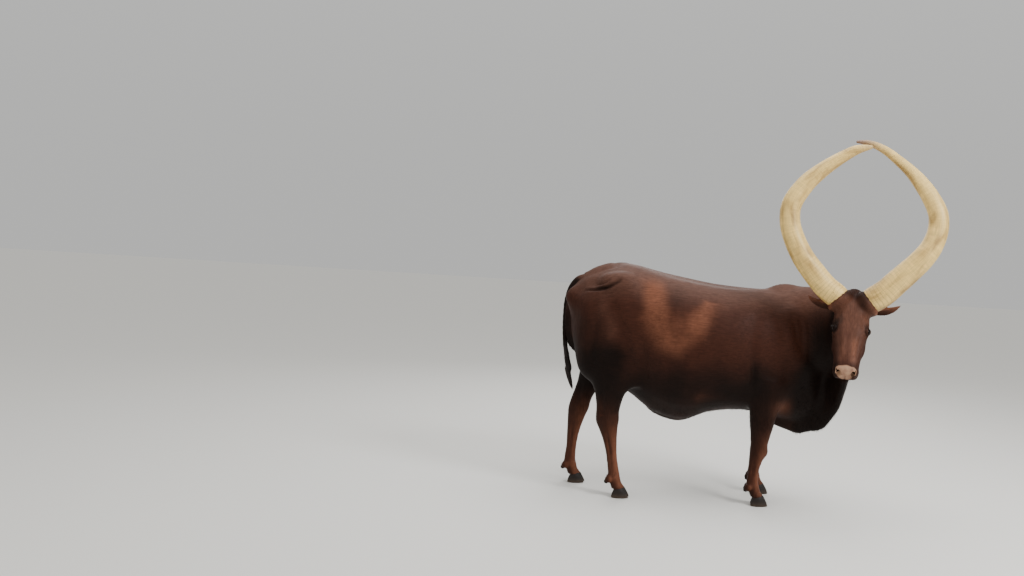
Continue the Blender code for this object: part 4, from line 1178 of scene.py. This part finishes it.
def horn_material(horns):
    """Cow horn, keratin grown in rings and fibres: waxy cream, stained ochre in its pits, grey at the tip."""
    material, tree, shader = new_material("Weathered cow horn", IOR=1.54, Specular_IOR_Level=0.35)
    straight = add(tree, "Attribute", {"attribute_name": "straight"}).outputs["Vector"]
    along = add(tree, "SeparateXYZ", {}, straight).outputs[2]
    # stains 60 mm wide and 200 mm long, fibres 3 mm wide, growth rings 22 mm apart that crowd and waver
    grain = []
    for scale, detail, twist in (
            ((16, 16, 5), 5.0, 0.5), ((300, 300, 9), 4.0, 0.0), ((14, 14, 95), 2.0, 0.0)):
        mapping = add(tree, "Mapping", {}, Vector=straight, Scale=scale)
        grain.append(add(tree, "TexNoise", {}, Vector=mapping, Scale=1.0, Detail=detail, Distortion=twist))
    stain, fibre, ring = grain
    phase = add(tree, "Math", TIMES, along, 2 * math.pi / 0.022)
    wave = add(tree, "Math", {"operation": "MULTIPLY_ADD"}, stain, 9.0, phase)
    wave = add(tree, "Math", {"operation": "SINE"}, wave)
    line = add(tree, "MapRange", SOFT, wave, 0.55, 1.0)
    root = add(tree, "MapRange", SOFT, along, 0.42, 0.05)
    line = add(tree, "Math", TIMES, line, root)
    factor = add(tree, "MapRange", SOFT, stain, 0.42, 0.80)
    colour = add(tree, "Mix", COLOURS, factor, linear(horns.cream), linear(horns.ochre))
    colour = add(tree, "Mix", COLOURS, add(tree, "Math", TIMES, line, 0.32), colour, linear("#6E5230"))
    factor = add(tree, "MapRange", SOFT, along, 1.16, 1.40)
    colour = add(tree, "Mix", COLOURS, factor, colour, linear(horns.tip))
    for source, low, high in ((fibre, 0.80, 1.12), (ring, 0.88, 1.08)):
        shade = add(tree, "MapRange", {}, source, 0.3, 0.7, low, high)
        grey = add(tree, "CombineColor", {}, shade, shade, shade)
        colour = add(tree, "Mix", {**COLOURS, "blend_type": "MULTIPLY"}, 1.0, colour, grey)
    tree.links.new(colour.outputs["Result"], shader.inputs["Base Color"])
    rough = add(tree, "MapRange", {}, fibre, 0.3, 0.7, 0.36, 0.56)
    tree.links.new(rough.outputs[0], shader.inputs["Roughness"])
    height = add(tree, "Math", MINUS, add(tree, "Math", PLUS, fibre, ring), line)
    bump = add(tree, "Bump", {}, Strength=0.6, Distance=0.0008, Height=height)
    tree.links.new(bump.outputs[0], shader.inputs["Normal"])
    return material


class WATUSI_OT_skin(bpy.types.Operator):
    """Fuse the flesh into one skin and fold it"""

    bl_idname = "watusi.skin"
    bl_label = "Skin"

    def execute(self, context):
        coat = context.scene.watusi_coat
        made, bone = fused_flesh()
        even_trunk(made, coat, bone)
        clay = Clay(made)
        clay.press(np.full(len(clay.points), coat.depth))
        fold_body(clay)
        clear_tail(clay, bone)
        shape_legs(clay)
        shape_face(clay)
        clay.set()
        # the belly is evened again where it was rounded down
        x, y, z = in_trunk(clay.points).T
        low = np.exp(-((x + 0.19) / 0.28) ** 4) * step(0.23, 0.16, np.abs(y)) * step(0.74, 0.66, z)
        evened_where(made.data, low * (z > 0.48), 50)
        thinned(made, coat)
        open_lids(made, context.scene.watusi_eyes)
        shape_muzzle(made)
        made.name = "skin"
        made.data.name = "skin"
        mark_coat(made.data, marks_of(points_of(made.data), read(made.data.vertex_normals, "vector", 3)))
        settle(made, coat_material(coat), "coat", *FLESH)
        return {"FINISHED"}


class WATUSI_OT_coat(bpy.types.Operator):
    """Grow tufts of coat where it breaks the form: poll, ears, chin, dewlap, belly, back and legs"""

    bl_idname = "watusi.coat"
    bl_label = "Coat"

    def execute(self, context):
        coat = context.scene.watusi_coat
        skin = bpy.data.objects["skin"]
        pelt = Pelt(skin)
        grown = {"coat_head": [], "coat_body": [], "coat_legs": []}
        for name, share, density, length, width, lift, sway, seed in self.growths(pelt):
            roots, normals, chosen = pelt.scatter(int(coat.tufts * share), density, seed)
            draw = np.random.default_rng(100 + seed)
            count = len(roots)
            ways = self.combed(name, roots, normals, draw)
            lengths = length * draw.uniform(0.6, 1.25, count)
            if name == "short":
                lengths *= 1 - 0.45 * headness(roots)
            lifts = lift * draw.uniform(0.5, 1.3, count)
            lines, sides = bent(roots, ways, normals, lengths, lifts, draw.normal(0, sway, count))
            lines[:, :, 2] = np.maximum(lines[:, :, 2], 0.002)
            where = np.where(headness(roots) > 0.5, 0, np.where(roots[:, 2] < 0.60, 2, 1))
            for k, parts in enumerate(grown.values()):
                mine = where == k
                widths = width * draw.uniform(0.7, 1.2, count)
                parts.append((lines[mine], sides[mine], widths[mine], chosen[mine]))
        for key, parts in grown.items():
            lines, sides, widths, chosen = (np.concatenate(rows) for rows in zip(*parts))
            settle(strands(key, pelt, lines, sides, widths, chosen, 0.3), skin.data.materials[0], "coat")
        self.lashes(context.scene.watusi_eyes, pelt)
        return {"FINISHED"}

    def growths(self, pelt):
        """Name, share of the tufts, density, length, width, lift, sway and seed of each growth."""
        x, y, z = in_trunk(pelt.centres).T
        u, v, w = in_head(pelt.centres).T
        head = headness(pelt.centres)
        body = 1 - head
        spread = np.abs(v)
        back = pelt.facing[:, 0]
        up = pelt.facing[:, 2]
        eyes_near = np.zeros(len(x))
        horn = np.full(len(x), 1.0)
        for word, side in SIDES.items():
            away = np.linalg.norm(pelt.centres - eye_axes(side)[0], axis=1)
            eyes_near = np.maximum(eyes_near, step(0.042, 0.034, away))
            path = curve_through(rings_of(f"horn_{word}", 14)[:8], 60)
            away, which = nearest_along(pelt.centres, path[:, :3])
            horn = np.minimum(horn, away - path[which, 3])
        clear = horn > 0.0005
        muzzle = head * step(0.455, 0.470, u) * step(-0.135, -0.125, w)
        furry = (1 - eyes_near) * (1 - muzzle) * (z > 0.064) * (0.6 + 0.8 * head)
        poll = head * step(0.060, 0.020, u) * step(0.075, 0.045, spread) * step(-0.1, 0.2, up)
        ear = head * step(0.115, 0.135, spread) * step(0.14, 0.10, u)
        chin = head * step(0.40, 0.44, u) * step(-0.140, -0.150, w)
        dewlap = body * step(0.56, 0.64, x) * step(0.86, 0.60, z) * step(0.0, -0.5, up)
        belly = body * step(-0.42, -0.30, x) * step(0.50, 0.40, x) * step(0.62, 0.54, z) * (z > 0.48)
        crest = body * step(0.035, 0.012, np.abs(y)) * step(0.6, 0.9, up) * (z > 1.15)
        shank = body * (z < 0.62) * step(0.0, -0.8, back) * (z > 0.07)
        fetlock = body * (z < 0.15) * (z > 0.075) * step(-0.2, -0.8, back)
        coronet = body * (z < 0.075) * (z > 0.048)
        return (
            ("short", 0.40, furry * clear, 0.012, 0.0015, 0.02, 0.12, 1),
            ("poll", 0.035, poll * clear, 0.013, 0.0018, 0.03, 0.15, 2),
            ("ear", 0.07, ear * clear, 0.0055, 0.0012, 0.03, 0.12, 3),
            ("chin", 0.015, chin * clear, 0.026, 0.0014, 0.55, 0.30, 4),
            ("dewlap", 0.05, dewlap * clear, 0.020, 0.0016, 0.40, 0.25, 5),
            ("belly", 0.05, belly * clear, 0.022, 0.0017, 0.35, 0.25, 6),
            ("crest", 0.05, crest * clear, 0.016, 0.0016, 0.06, 0.22, 7),
            ("shank", 0.05, shank * clear, 0.011, 0.0014, 0.03, 0.15, 8),
            ("fetlock", 0.025, fetlock * clear, 0.018, 0.0014, 0.12, 0.20, 9),
            ("coronet", 0.025, coronet * clear, 0.013, 0.0013, 0.10, 0.15, 10),
            ("fringe", 0.03, head * clear * step(0.016, 0.004, horn), 0.014, 0.0014, 0.05, 0.15, 11),
        )

    def combed(self, name, roots, normals, draw):
        """The way each tuft of a growth lies along the skin."""
        rows = (len(roots), 3)
        outward = np.sign(in_head(roots)[:, 1])[:, None]
        ways = lie_of(roots, normals) + draw.normal(0, 0.12, rows)
        if name == "ear":
            ways = outward * np.array(SKULL @ Vector((-0.05, 1.0, 0.1))) + draw.normal(0, 0.18, rows)
        if name == "fringe":
            ways = outward * np.array(SKULL @ Vector((0.0, 1.0, 0.0))) + draw.normal(0, 0.12, rows)
        if name == "poll":
            ways = np.array(SKULL @ Vector((0.9, 0.0, 0.25))) + draw.normal(0, 0.25, rows)
        if name in ("chin", "dewlap", "belly", "fetlock", "coronet"):
            ways = ways + np.array((0.0, 0.0, -0.9))
        ways -= normals * (ways * normals).sum(1)[:, None]
        return ways / np.linalg.norm(ways, axis=1)[:, None]

    def lashes(self, eyes, pelt):
        """Moist rims round the lids, and lashes that stand out from the upper ones."""
        material, tree, shader = new_material("Moist lid rim", Roughness=0.5, Specular_IOR_Level=0.2)
        where = add(tree, "TexCoord").outputs["Object"]
        grain = add(tree, "TexNoise", {}, Vector=where, Scale=400.0, Detail=2.0)
        colour = add(tree, "Mix", COLOURS, grain, linear("#0D0705"), linear("#251610"))
        tree.links.new(colour.outputs["Result"], shader.inputs["Base Color"])
        radius = eye_radius()
        draw = np.random.default_rng(60)

        def raised(a, b, height):
            """Places over the eyeball, by how far along its corner axis and up they are."""
            out = np.sqrt(np.maximum((radius + height) ** 2 - a ** 2 - b ** 2, 1e-8))
            return np.stack((a, b, out), 1)

        for word, side in SIDES.items():
            centre, axes = eye_axes(side)
            turn = np.linspace(0, 2 * math.pi, 97)
            b = np.sin(turn) * arch(np.sin(turn), eyes) * 1.01
            loop = centre + raised(np.cos(turn) * eyes.half_length * 1.01, b, 0.0010) @ axes
            settle(swept(f"lid_rim_{word}", loop, np.full(97, 0.0011), 10), material, "coat")
            count = 70
            turn = math.pi * draw.uniform(0.15, 0.85, count)
            roots = raised(
                np.cos(turn) * eyes.half_length * 1.06, np.sin(turn) * eyes.half_height * 1.15, 0.0018)
            ways = roots / np.linalg.norm(roots, axis=1)[:, None] + np.array((0.0, 0.5, 0.2))
            ways += draw.normal(0, 0.12, (count, 3))
            ways /= np.linalg.norm(ways, axis=1)[:, None]
            roots, ways = centre + roots @ axes, ways @ axes
            lines, sides = bent(
                roots, ways, np.tile(-axes[1], (count, 1)), draw.uniform(0.008, 0.013, count),
                np.full(count, 0.5), draw.normal(0, 0.1, count), 4, 0.0)
            made = strands(f"lashes_{word}", pelt, lines, sides, np.full(count, 0.0007), pelt.under(roots))
            settle(made, material, "hair")


class WATUSI_OT_tail(bpy.types.Operator):
    """Hang the tail free of the buttocks, with its switch of long hair"""

    bl_idname = "watusi.tail"
    bl_label = "Tail"

    def execute(self, context):
        skin = bpy.data.objects["skin"]
        rows = curve_through(rings_of("tail", 12), 260)
        rows = rows[rows[:, 2] < 1.25]
        z = rows[:, 2]
        # bones under the skin swell it every 35 mm
        swell = 1 + 0.03 * np.sin(z * 2 * math.pi / 0.035)
        radii = rows[:, 3] * (0.88 + 0.10 * step(1.19, 1.14, z)) * swell
        made = swept("tail_free", rows[:, :3], radii, 48)
        normals = read(made.data.vertex_normals, "vector", 3)
        marks = marks_of(points_of(made.data), normals)
        marks["dark"] = np.maximum(marks["dark"], 0.85)
        mark_coat(made.data, marks)
        settle(made, skin.data.materials[0], "coat")
        self.switch(Pelt(skin))
        return {"FINISHED"}

    def switch(self, pelt):
        """The switch: long strands round the end of the tail that hang down and close to one point."""
        draw = np.random.default_rng(40)
        count = 1300
        low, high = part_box("tail_tuft")
        bone = rings_of("tail", 12)
        start = bone[-1, 2] + (high.z + 0.060 - bone[-1, 2]) * draw.beta(1.6, 2.2, count)
        order = np.argsort(-start)
        start = start[order]
        turn = draw.uniform(0, 2 * math.pi, count)
        drop = draw.uniform(0.10, 0.24, count)
        least = low.z + 0.004 + draw.uniform(0, 0.05, count) * draw.uniform(0, 1, count)
        foot = np.maximum(start - drop, least)
        joints = 8
        share = np.linspace(0, 1, joints)[None]
        z = start[:, None] + (foot - start)[:, None] * share
        bend = (0.880 - z) / 0.275
        x = -0.838 + 0.020 * bend + 0.042 * np.maximum(bend, 0) ** 2
        x = np.where(z > 0.740, np.interp(z, bone[::-1, 2], bone[::-1, 0] - TRUNK.x), x)
        y = np.where(z > 0.740, np.interp(z, bone[::-1, 2], bone[::-1, 1] - TRUNK.y), -0.014 - 0.006 * bend)
        girth = np.interp(z, (low.z, 0.66, 0.76, 0.84, 0.90), (0.003, 0.011, 0.016, 0.016, 0.013))
        inner = draw.uniform(0.45, 1.0, count)[:, None]
        turns, shift = draw.uniform(4, 9, count)[:, None], draw.uniform(0, 6, count)[:, None]
        wave = 0.0025 * np.sin(share * turns + shift) * np.minimum(share * 3, 1)
        close = 0.94 * np.interp(z, bone[::-1, 2], bone[::-1, 3])
        reach = girth * inner
        reach = np.where(z > bone[-1, 2], np.maximum(close, reach * step(0.0, 0.5, share)), reach)
        reach[:, 0] = close[:, 0]
        x = TRUNK.x + x + np.cos(turn)[:, None] * reach + wave
        y = TRUNK.y + y + np.sin(turn)[:, None] * reach + wave * 0.6
        lines = np.stack((x, y, z), 2)
        sides = np.stack((-np.sin(turn), np.cos(turn), np.zeros(count)), 1)
        chosen = pelt.under(lines[:, 0])
        widths = draw.uniform(0.0022, 0.0036, count)
        made = strands("switch", pelt, lines, sides, widths, chosen, 0.7)
        # long tail hair, coarse and glossy, nearly black with browner tips; clumps 4 mm wide and 80 mm long
        material, tree, shader = new_material("Coarse switch hair", Roughness=0.42)
        tip = add(tree, "Attribute", {"attribute_name": "tip"}).outputs["Fac"]
        where = add(tree, "TexCoord").outputs["Object"]
        mapping = add(tree, "Mapping", {}, Vector=where, Scale=(260, 260, 12))
        strand = add(tree, "TexNoise", {}, Vector=mapping, Scale=1.0, Detail=2.0)
        colour = add(tree, "Mix", COLOURS, strand, linear("#0C0705"), linear("#24140E"))
        colour = add(tree, "Mix", COLOURS, add(tree, "Math", TIMES, tip, 0.4), colour, linear("#2E1A12"))
        tree.links.new(colour.outputs["Result"], shader.inputs["Base Color"])
        settle(made, material, "hair", "tail_tuft")


class WATUSI_OT_horns(bpy.types.Operator):
    """Grow the two horns with rings and fibres"""

    bl_idname = "watusi.horns"
    bl_label = "Horns"

    def execute(self, context):
        horns = context.scene.watusi_horns
        material = horn_material(horns)
        for number, word in enumerate(SIDES):
            node = f"horn_{word}"
            rings = rings_of(node, 14)
            rings[1:-1, 3] = (rings[:-2, 3] + 2 * rings[1:-1, 3] + rings[2:, 3]) / 4
            rows = curve_through(rings, horns.rings)
            steps = np.linalg.norm(np.diff(rows[:, :3], axis=0), axis=1)
            length = np.concatenate(([0], np.cumsum(steps)))
            share = length / length[-1]
            turn = np.linspace(0, 2 * math.pi, horns.sides, endpoint=False)
            turn = turn[None]
            share = share[:, None]
            length = length[:, None]
            # a slight wobble, growth rings that slant and crowd, and flutes along the horn
            wobble = 0.0022 * np.sin(3 * turn + 5 * length) * step(0.0, 0.1, share)
            drift = length + 0.006 * np.sin(turn + number) + 0.004 * np.sin(2 * turn + 9 * length)
            phase = drift / horns.growth * (1 - 0.25 * share)
            ridge = (np.abs(np.sin(math.pi * phase)) - 0.6) * 0.012 * step(0.62, 0.05, share)
            flute = 0.004 * np.sin(7 * turn + 2.5 * length) * step(0.6, 0.2, share)
            bumps = 1 + wobble + ridge + flute
            made = swept(node + "_horn", rows[:, :3], rows[:, 3] * 0.992, horns.sides, bumps)
            settle(made, material, "horn", node)
        return {"FINISHED"}


class WATUSI_OT_eyes(bpy.types.Operator):
    """Set the two wet dark eyes"""

    bl_idname = "watusi.eyes"
    bl_label = "Eyes"

    def execute(self, context):
        # the eye's wet surface over a dark brown iris: near black, with one sharp light in it
        material, tree, shader = new_material(
            "Wet cattle eye", Roughness=0.08, IOR=1.376, Specular_IOR_Level=0.2, Coat_Weight=0.12,
            Coat_Roughness=0.02)
        gaze = add(tree, "Attribute", {"attribute_name": "gaze"}).outputs["Vector"]
        parts = add(tree, "SeparateXYZ", {}, gaze)
        flat = add(tree, "CombineXYZ", {}, parts.outputs[0], parts.outputs[1])
        white = add(tree, "MapRange", {}, add(tree, "VectorMath", {"operation": "LENGTH"}, flat), 0.74, 0.84)
        fleck = add(tree, "TexNoise", {}, Vector=gaze, Scale=9.0, Detail=4.0)
        iris = linear(context.scene.watusi_eyes.iris)
        colour = add(tree, "Mix", COLOURS, fleck, linear("#120804"), iris)
        # the pupil is a wide oval
        squashed = add(tree, "Mapping", {}, Vector=flat, Scale=(1.0, 1.9, 1.0))
        pupil = add(tree, "VectorMath", {"operation": "LENGTH"}, squashed)
        pupil = add(tree, "MapRange", {}, pupil, 0.42, 0.48)
        colour = add(tree, "Mix", COLOURS, pupil, linear("#050303"), colour)
        colour = add(tree, "Mix", COLOURS, white, colour, linear("#2E211C"))
        tree.links.new(colour.outputs["Result"], shader.inputs["Base Color"])
        radius = eye_radius()
        for word, side in SIDES.items():
            centre, axes = eye_axes(side)
            bpy.ops.object.select_all(action="DESELECT")
            bpy.ops.mesh.primitive_uv_sphere_add(segments=64, ring_count=40, radius=radius)
            made = context.object
            made.name = f"eyeball_{word}"
            points = points_of(made.data)
            # the cornea bulges round the gaze
            angle = np.arccos(np.clip(points[:, 2] / radius, -1, 1))
            bulge = 1 + 0.055 * step(0.75, 0.35, angle)
            mark(made.data, "gaze", points / radius)
            place(made.data, centre + (points * bulge[:, None] * 0.985) @ axes)
            settle(made, material, "eye", f"eye_{word}")
            if np.linalg.det(axes) < 0:
                only(made)
                bpy.ops.object.mode_set(mode="EDIT")
                bpy.ops.mesh.select_all(action="SELECT")
                bpy.ops.mesh.flip_normals()
                bpy.ops.object.mode_set(mode="OBJECT")
        return {"FINISHED"}


class WATUSI_OT_claws(bpy.types.Operator):
    """Shape the claws and dewclaws"""

    bl_idname = "watusi.claws"
    bl_label = "Claws"

    def execute(self, context):
        claws = context.scene.watusi_claws
        # claw horn, worn by walking: dark, ringed, scuffed paler near the ground
        material, tree, shader = new_material(
            "Worn claw horn", Roughness=0.52, IOR=1.54, Specular_IOR_Level=0.25)
        where = add(tree, "TexCoord").outputs["Object"]
        height = add(tree, "SeparateXYZ", {}, where).outputs[2]
        scuff = add(tree, "TexNoise", {}, Vector=where, Scale=90.0, Detail=4.0)
        mapping = add(tree, "Mapping", {}, Vector=where, Scale=(40, 40, 420))
        ring = add(tree, "TexNoise", {}, Vector=mapping, Scale=1.0, Detail=3.0)
        wear = add(tree, "Math", TIMES, add(tree, "MapRange", {}, height, 0.030, 0.0), scuff)
        colour = add(tree, "Mix", COLOURS, wear, linear(claws.horn), linear(claws.worn))
        tree.links.new(colour.outputs["Result"], shader.inputs["Base Color"])
        bump = add(tree, "Bump", {}, Strength=0.7, Distance=0.0006, Height=ring)
        tree.links.new(bump.outputs[0], shader.inputs["Normal"])
        for node in CLAWS:
            for horny in (node, "dew" + node):
                made = copy_of(horny)
                made.name = horny + "_horn"
                finer = made.modifiers.new("Finer", "SUBSURF")
                finer.levels = 2
                finer.render_levels = 2
                apply_all(made)
                points = points_of(made.data)
                points[:, 2] = np.maximum(points[:, 2], 0.0)
                if horny.startswith("dew"):
                    # a dewclaw is a blunt little hoof, flat below and longer than it is wide
                    centre = (points.min(0) + points.max(0)) / 2
                    away = points - centre
                    narrow = 1 - 0.30 * step(-0.004, 0.020, away[:, 2])[:, None] * np.array((1.0, 1.0, 0.0))
                    points = centre + away * np.array((0.95, 0.88, 1.10)) * narrow
                    points[:, 0] += 0.25 * away[:, 2]
                    points[:, 2] = np.maximum(points[:, 2], centre[2] - 0.012 - 0.2 * away[:, 0])
                place(made.data, points)
                settle(made, material, "claw", horny)
        return {"FINISHED"}


class WATUSI_OT_stage(bpy.types.Operator):
    """Set the pale floor, the soft lights and the camera"""

    bl_idname = "watusi.stage"
    bl_label = "Stage"

    def execute(self, context):
        bpy.ops.object.select_all(action="DESELECT")
        bpy.ops.mesh.primitive_plane_add(size=60.0, location=(0, 0, -0.001))
        floor = context.object
        floor.name = "floor"
        paper = new_material("Matt paper floor", Base_Color=linear("#E6E4DF"), Roughness=0.9)[0]
        floor.data.materials.append(paper)
        world = bpy.data.worlds.new("Studio")
        context.scene.world = world
        world.use_nodes = True
        # an even pale surround: a little brighter overhead, and the floor's own tone at the horizon
        tree = world.node_tree
        sky = add(tree, "SeparateXYZ", {}, add(tree, "TexCoord").outputs["Generated"]).outputs[2]
        glow = add(tree, "MapRange", SOFT, sky, 0.0, 0.7, 0.66, 0.92)
        background = tree.nodes["Background"]
        background.inputs["Color"].default_value = linear("#EFEFED")
        tree.links.new(glow.outputs[0], background.inputs["Strength"])
        lamps = (
            # name, place, target, size, power
            ("key", (3.4, -2.8, 4.2), (0.0, 0.0, 1.0), 1.4, 230),
            ("top", (-0.3, 0.3, 4.6), (-0.1, 0.0, 1.0), 3.2, 110),
            ("fill", (-4.2, -3.6, 2.0), (0.0, 0.0, 0.9), 3.0, 12),
            ("back", (-1.0, 4.5, 3.4), (0.0, 0.0, 1.0), 2.5, 60),
        )
        for name, spot_at, target, size, power in lamps:
            light = bpy.data.lights.new(name, "AREA")
            light.size = size
            light.energy = power
            lamp = bpy.data.objects.new(name, light)
            context.scene.collection.objects.link(lamp)
            lamp.location = spot_at
            lamp.rotation_euler = (Vector(target) - Vector(spot_at)).to_track_quat("-Z", "Y").to_euler()
        view = bpy.data.cameras.new("photo view")
        view.sensor_width = 36.0
        view.lens = 33.06
        view.shift_x = -0.2031
        camera = bpy.data.objects.new("photo view", view)
        context.scene.collection.objects.link(camera)
        camera.matrix_world = (
            Matrix.Translation((-0.1583, -5.612, 1.51))
            @ Matrix.Rotation(math.radians(90 - 2.2), 4, "X")
            @ Matrix.Rotation(math.radians(3.5), 4, "Z")
        )
        context.scene.camera = camera
        return {"FINISHED"}


class WATUSI_PT_panel(bpy.types.Panel):
    """The pieces, in the order they are made."""

    bl_idname = "WATUSI_PT_panel"
    bl_label = "Ankole-Watusi"
    bl_space_type = "VIEW_3D"
    bl_region_type = "UI"
    bl_category = "Watusi"

    def draw(self, context):
        for group in (context.scene.watusi_coat, context.scene.watusi_horns,
                      context.scene.watusi_eyes, context.scene.watusi_claws):
            box = self.layout.box()
            for name in group.bl_rna.properties.keys():
                if name not in ("rna_type", "name"):
                    box.prop(group, name)
        for operator in OPERATORS:
            self.layout.operator(operator.bl_idname)


GROUPS = {"watusi_coat": Coat, "watusi_horns": Horns, "watusi_eyes": Eyes, "watusi_claws": Claws}
OPERATORS = (
    WATUSI_OT_skin, WATUSI_OT_coat, WATUSI_OT_tail, WATUSI_OT_horns, WATUSI_OT_eyes, WATUSI_OT_claws,
    WATUSI_OT_stage)


def register():
    """Registers the property groups, the operators and the panel."""
    for name, group in GROUPS.items():
        bpy.utils.register_class(group)
        setattr(bpy.types.Scene, name, PointerProperty(type=group))
    for made in (*OPERATORS, WATUSI_PT_panel):
        bpy.utils.register_class(made)


def unregister():
    """Removes what register added."""
    for made in (WATUSI_PT_panel, *reversed(OPERATORS)):
        bpy.utils.unregister_class(made)
    for name, group in GROUPS.items():
        delattr(bpy.types.Scene, name)
        bpy.utils.unregister_class(group)


def main():
    """Makes every piece in order."""
    register()
    bpy.ops.watusi.skin()
    bpy.ops.watusi.coat()
    bpy.ops.watusi.tail()
    bpy.ops.watusi.horns()
    bpy.ops.watusi.eyes()
    bpy.ops.watusi.claws()
    bpy.ops.watusi.stage()


if __name__ == "__main__":
    main()
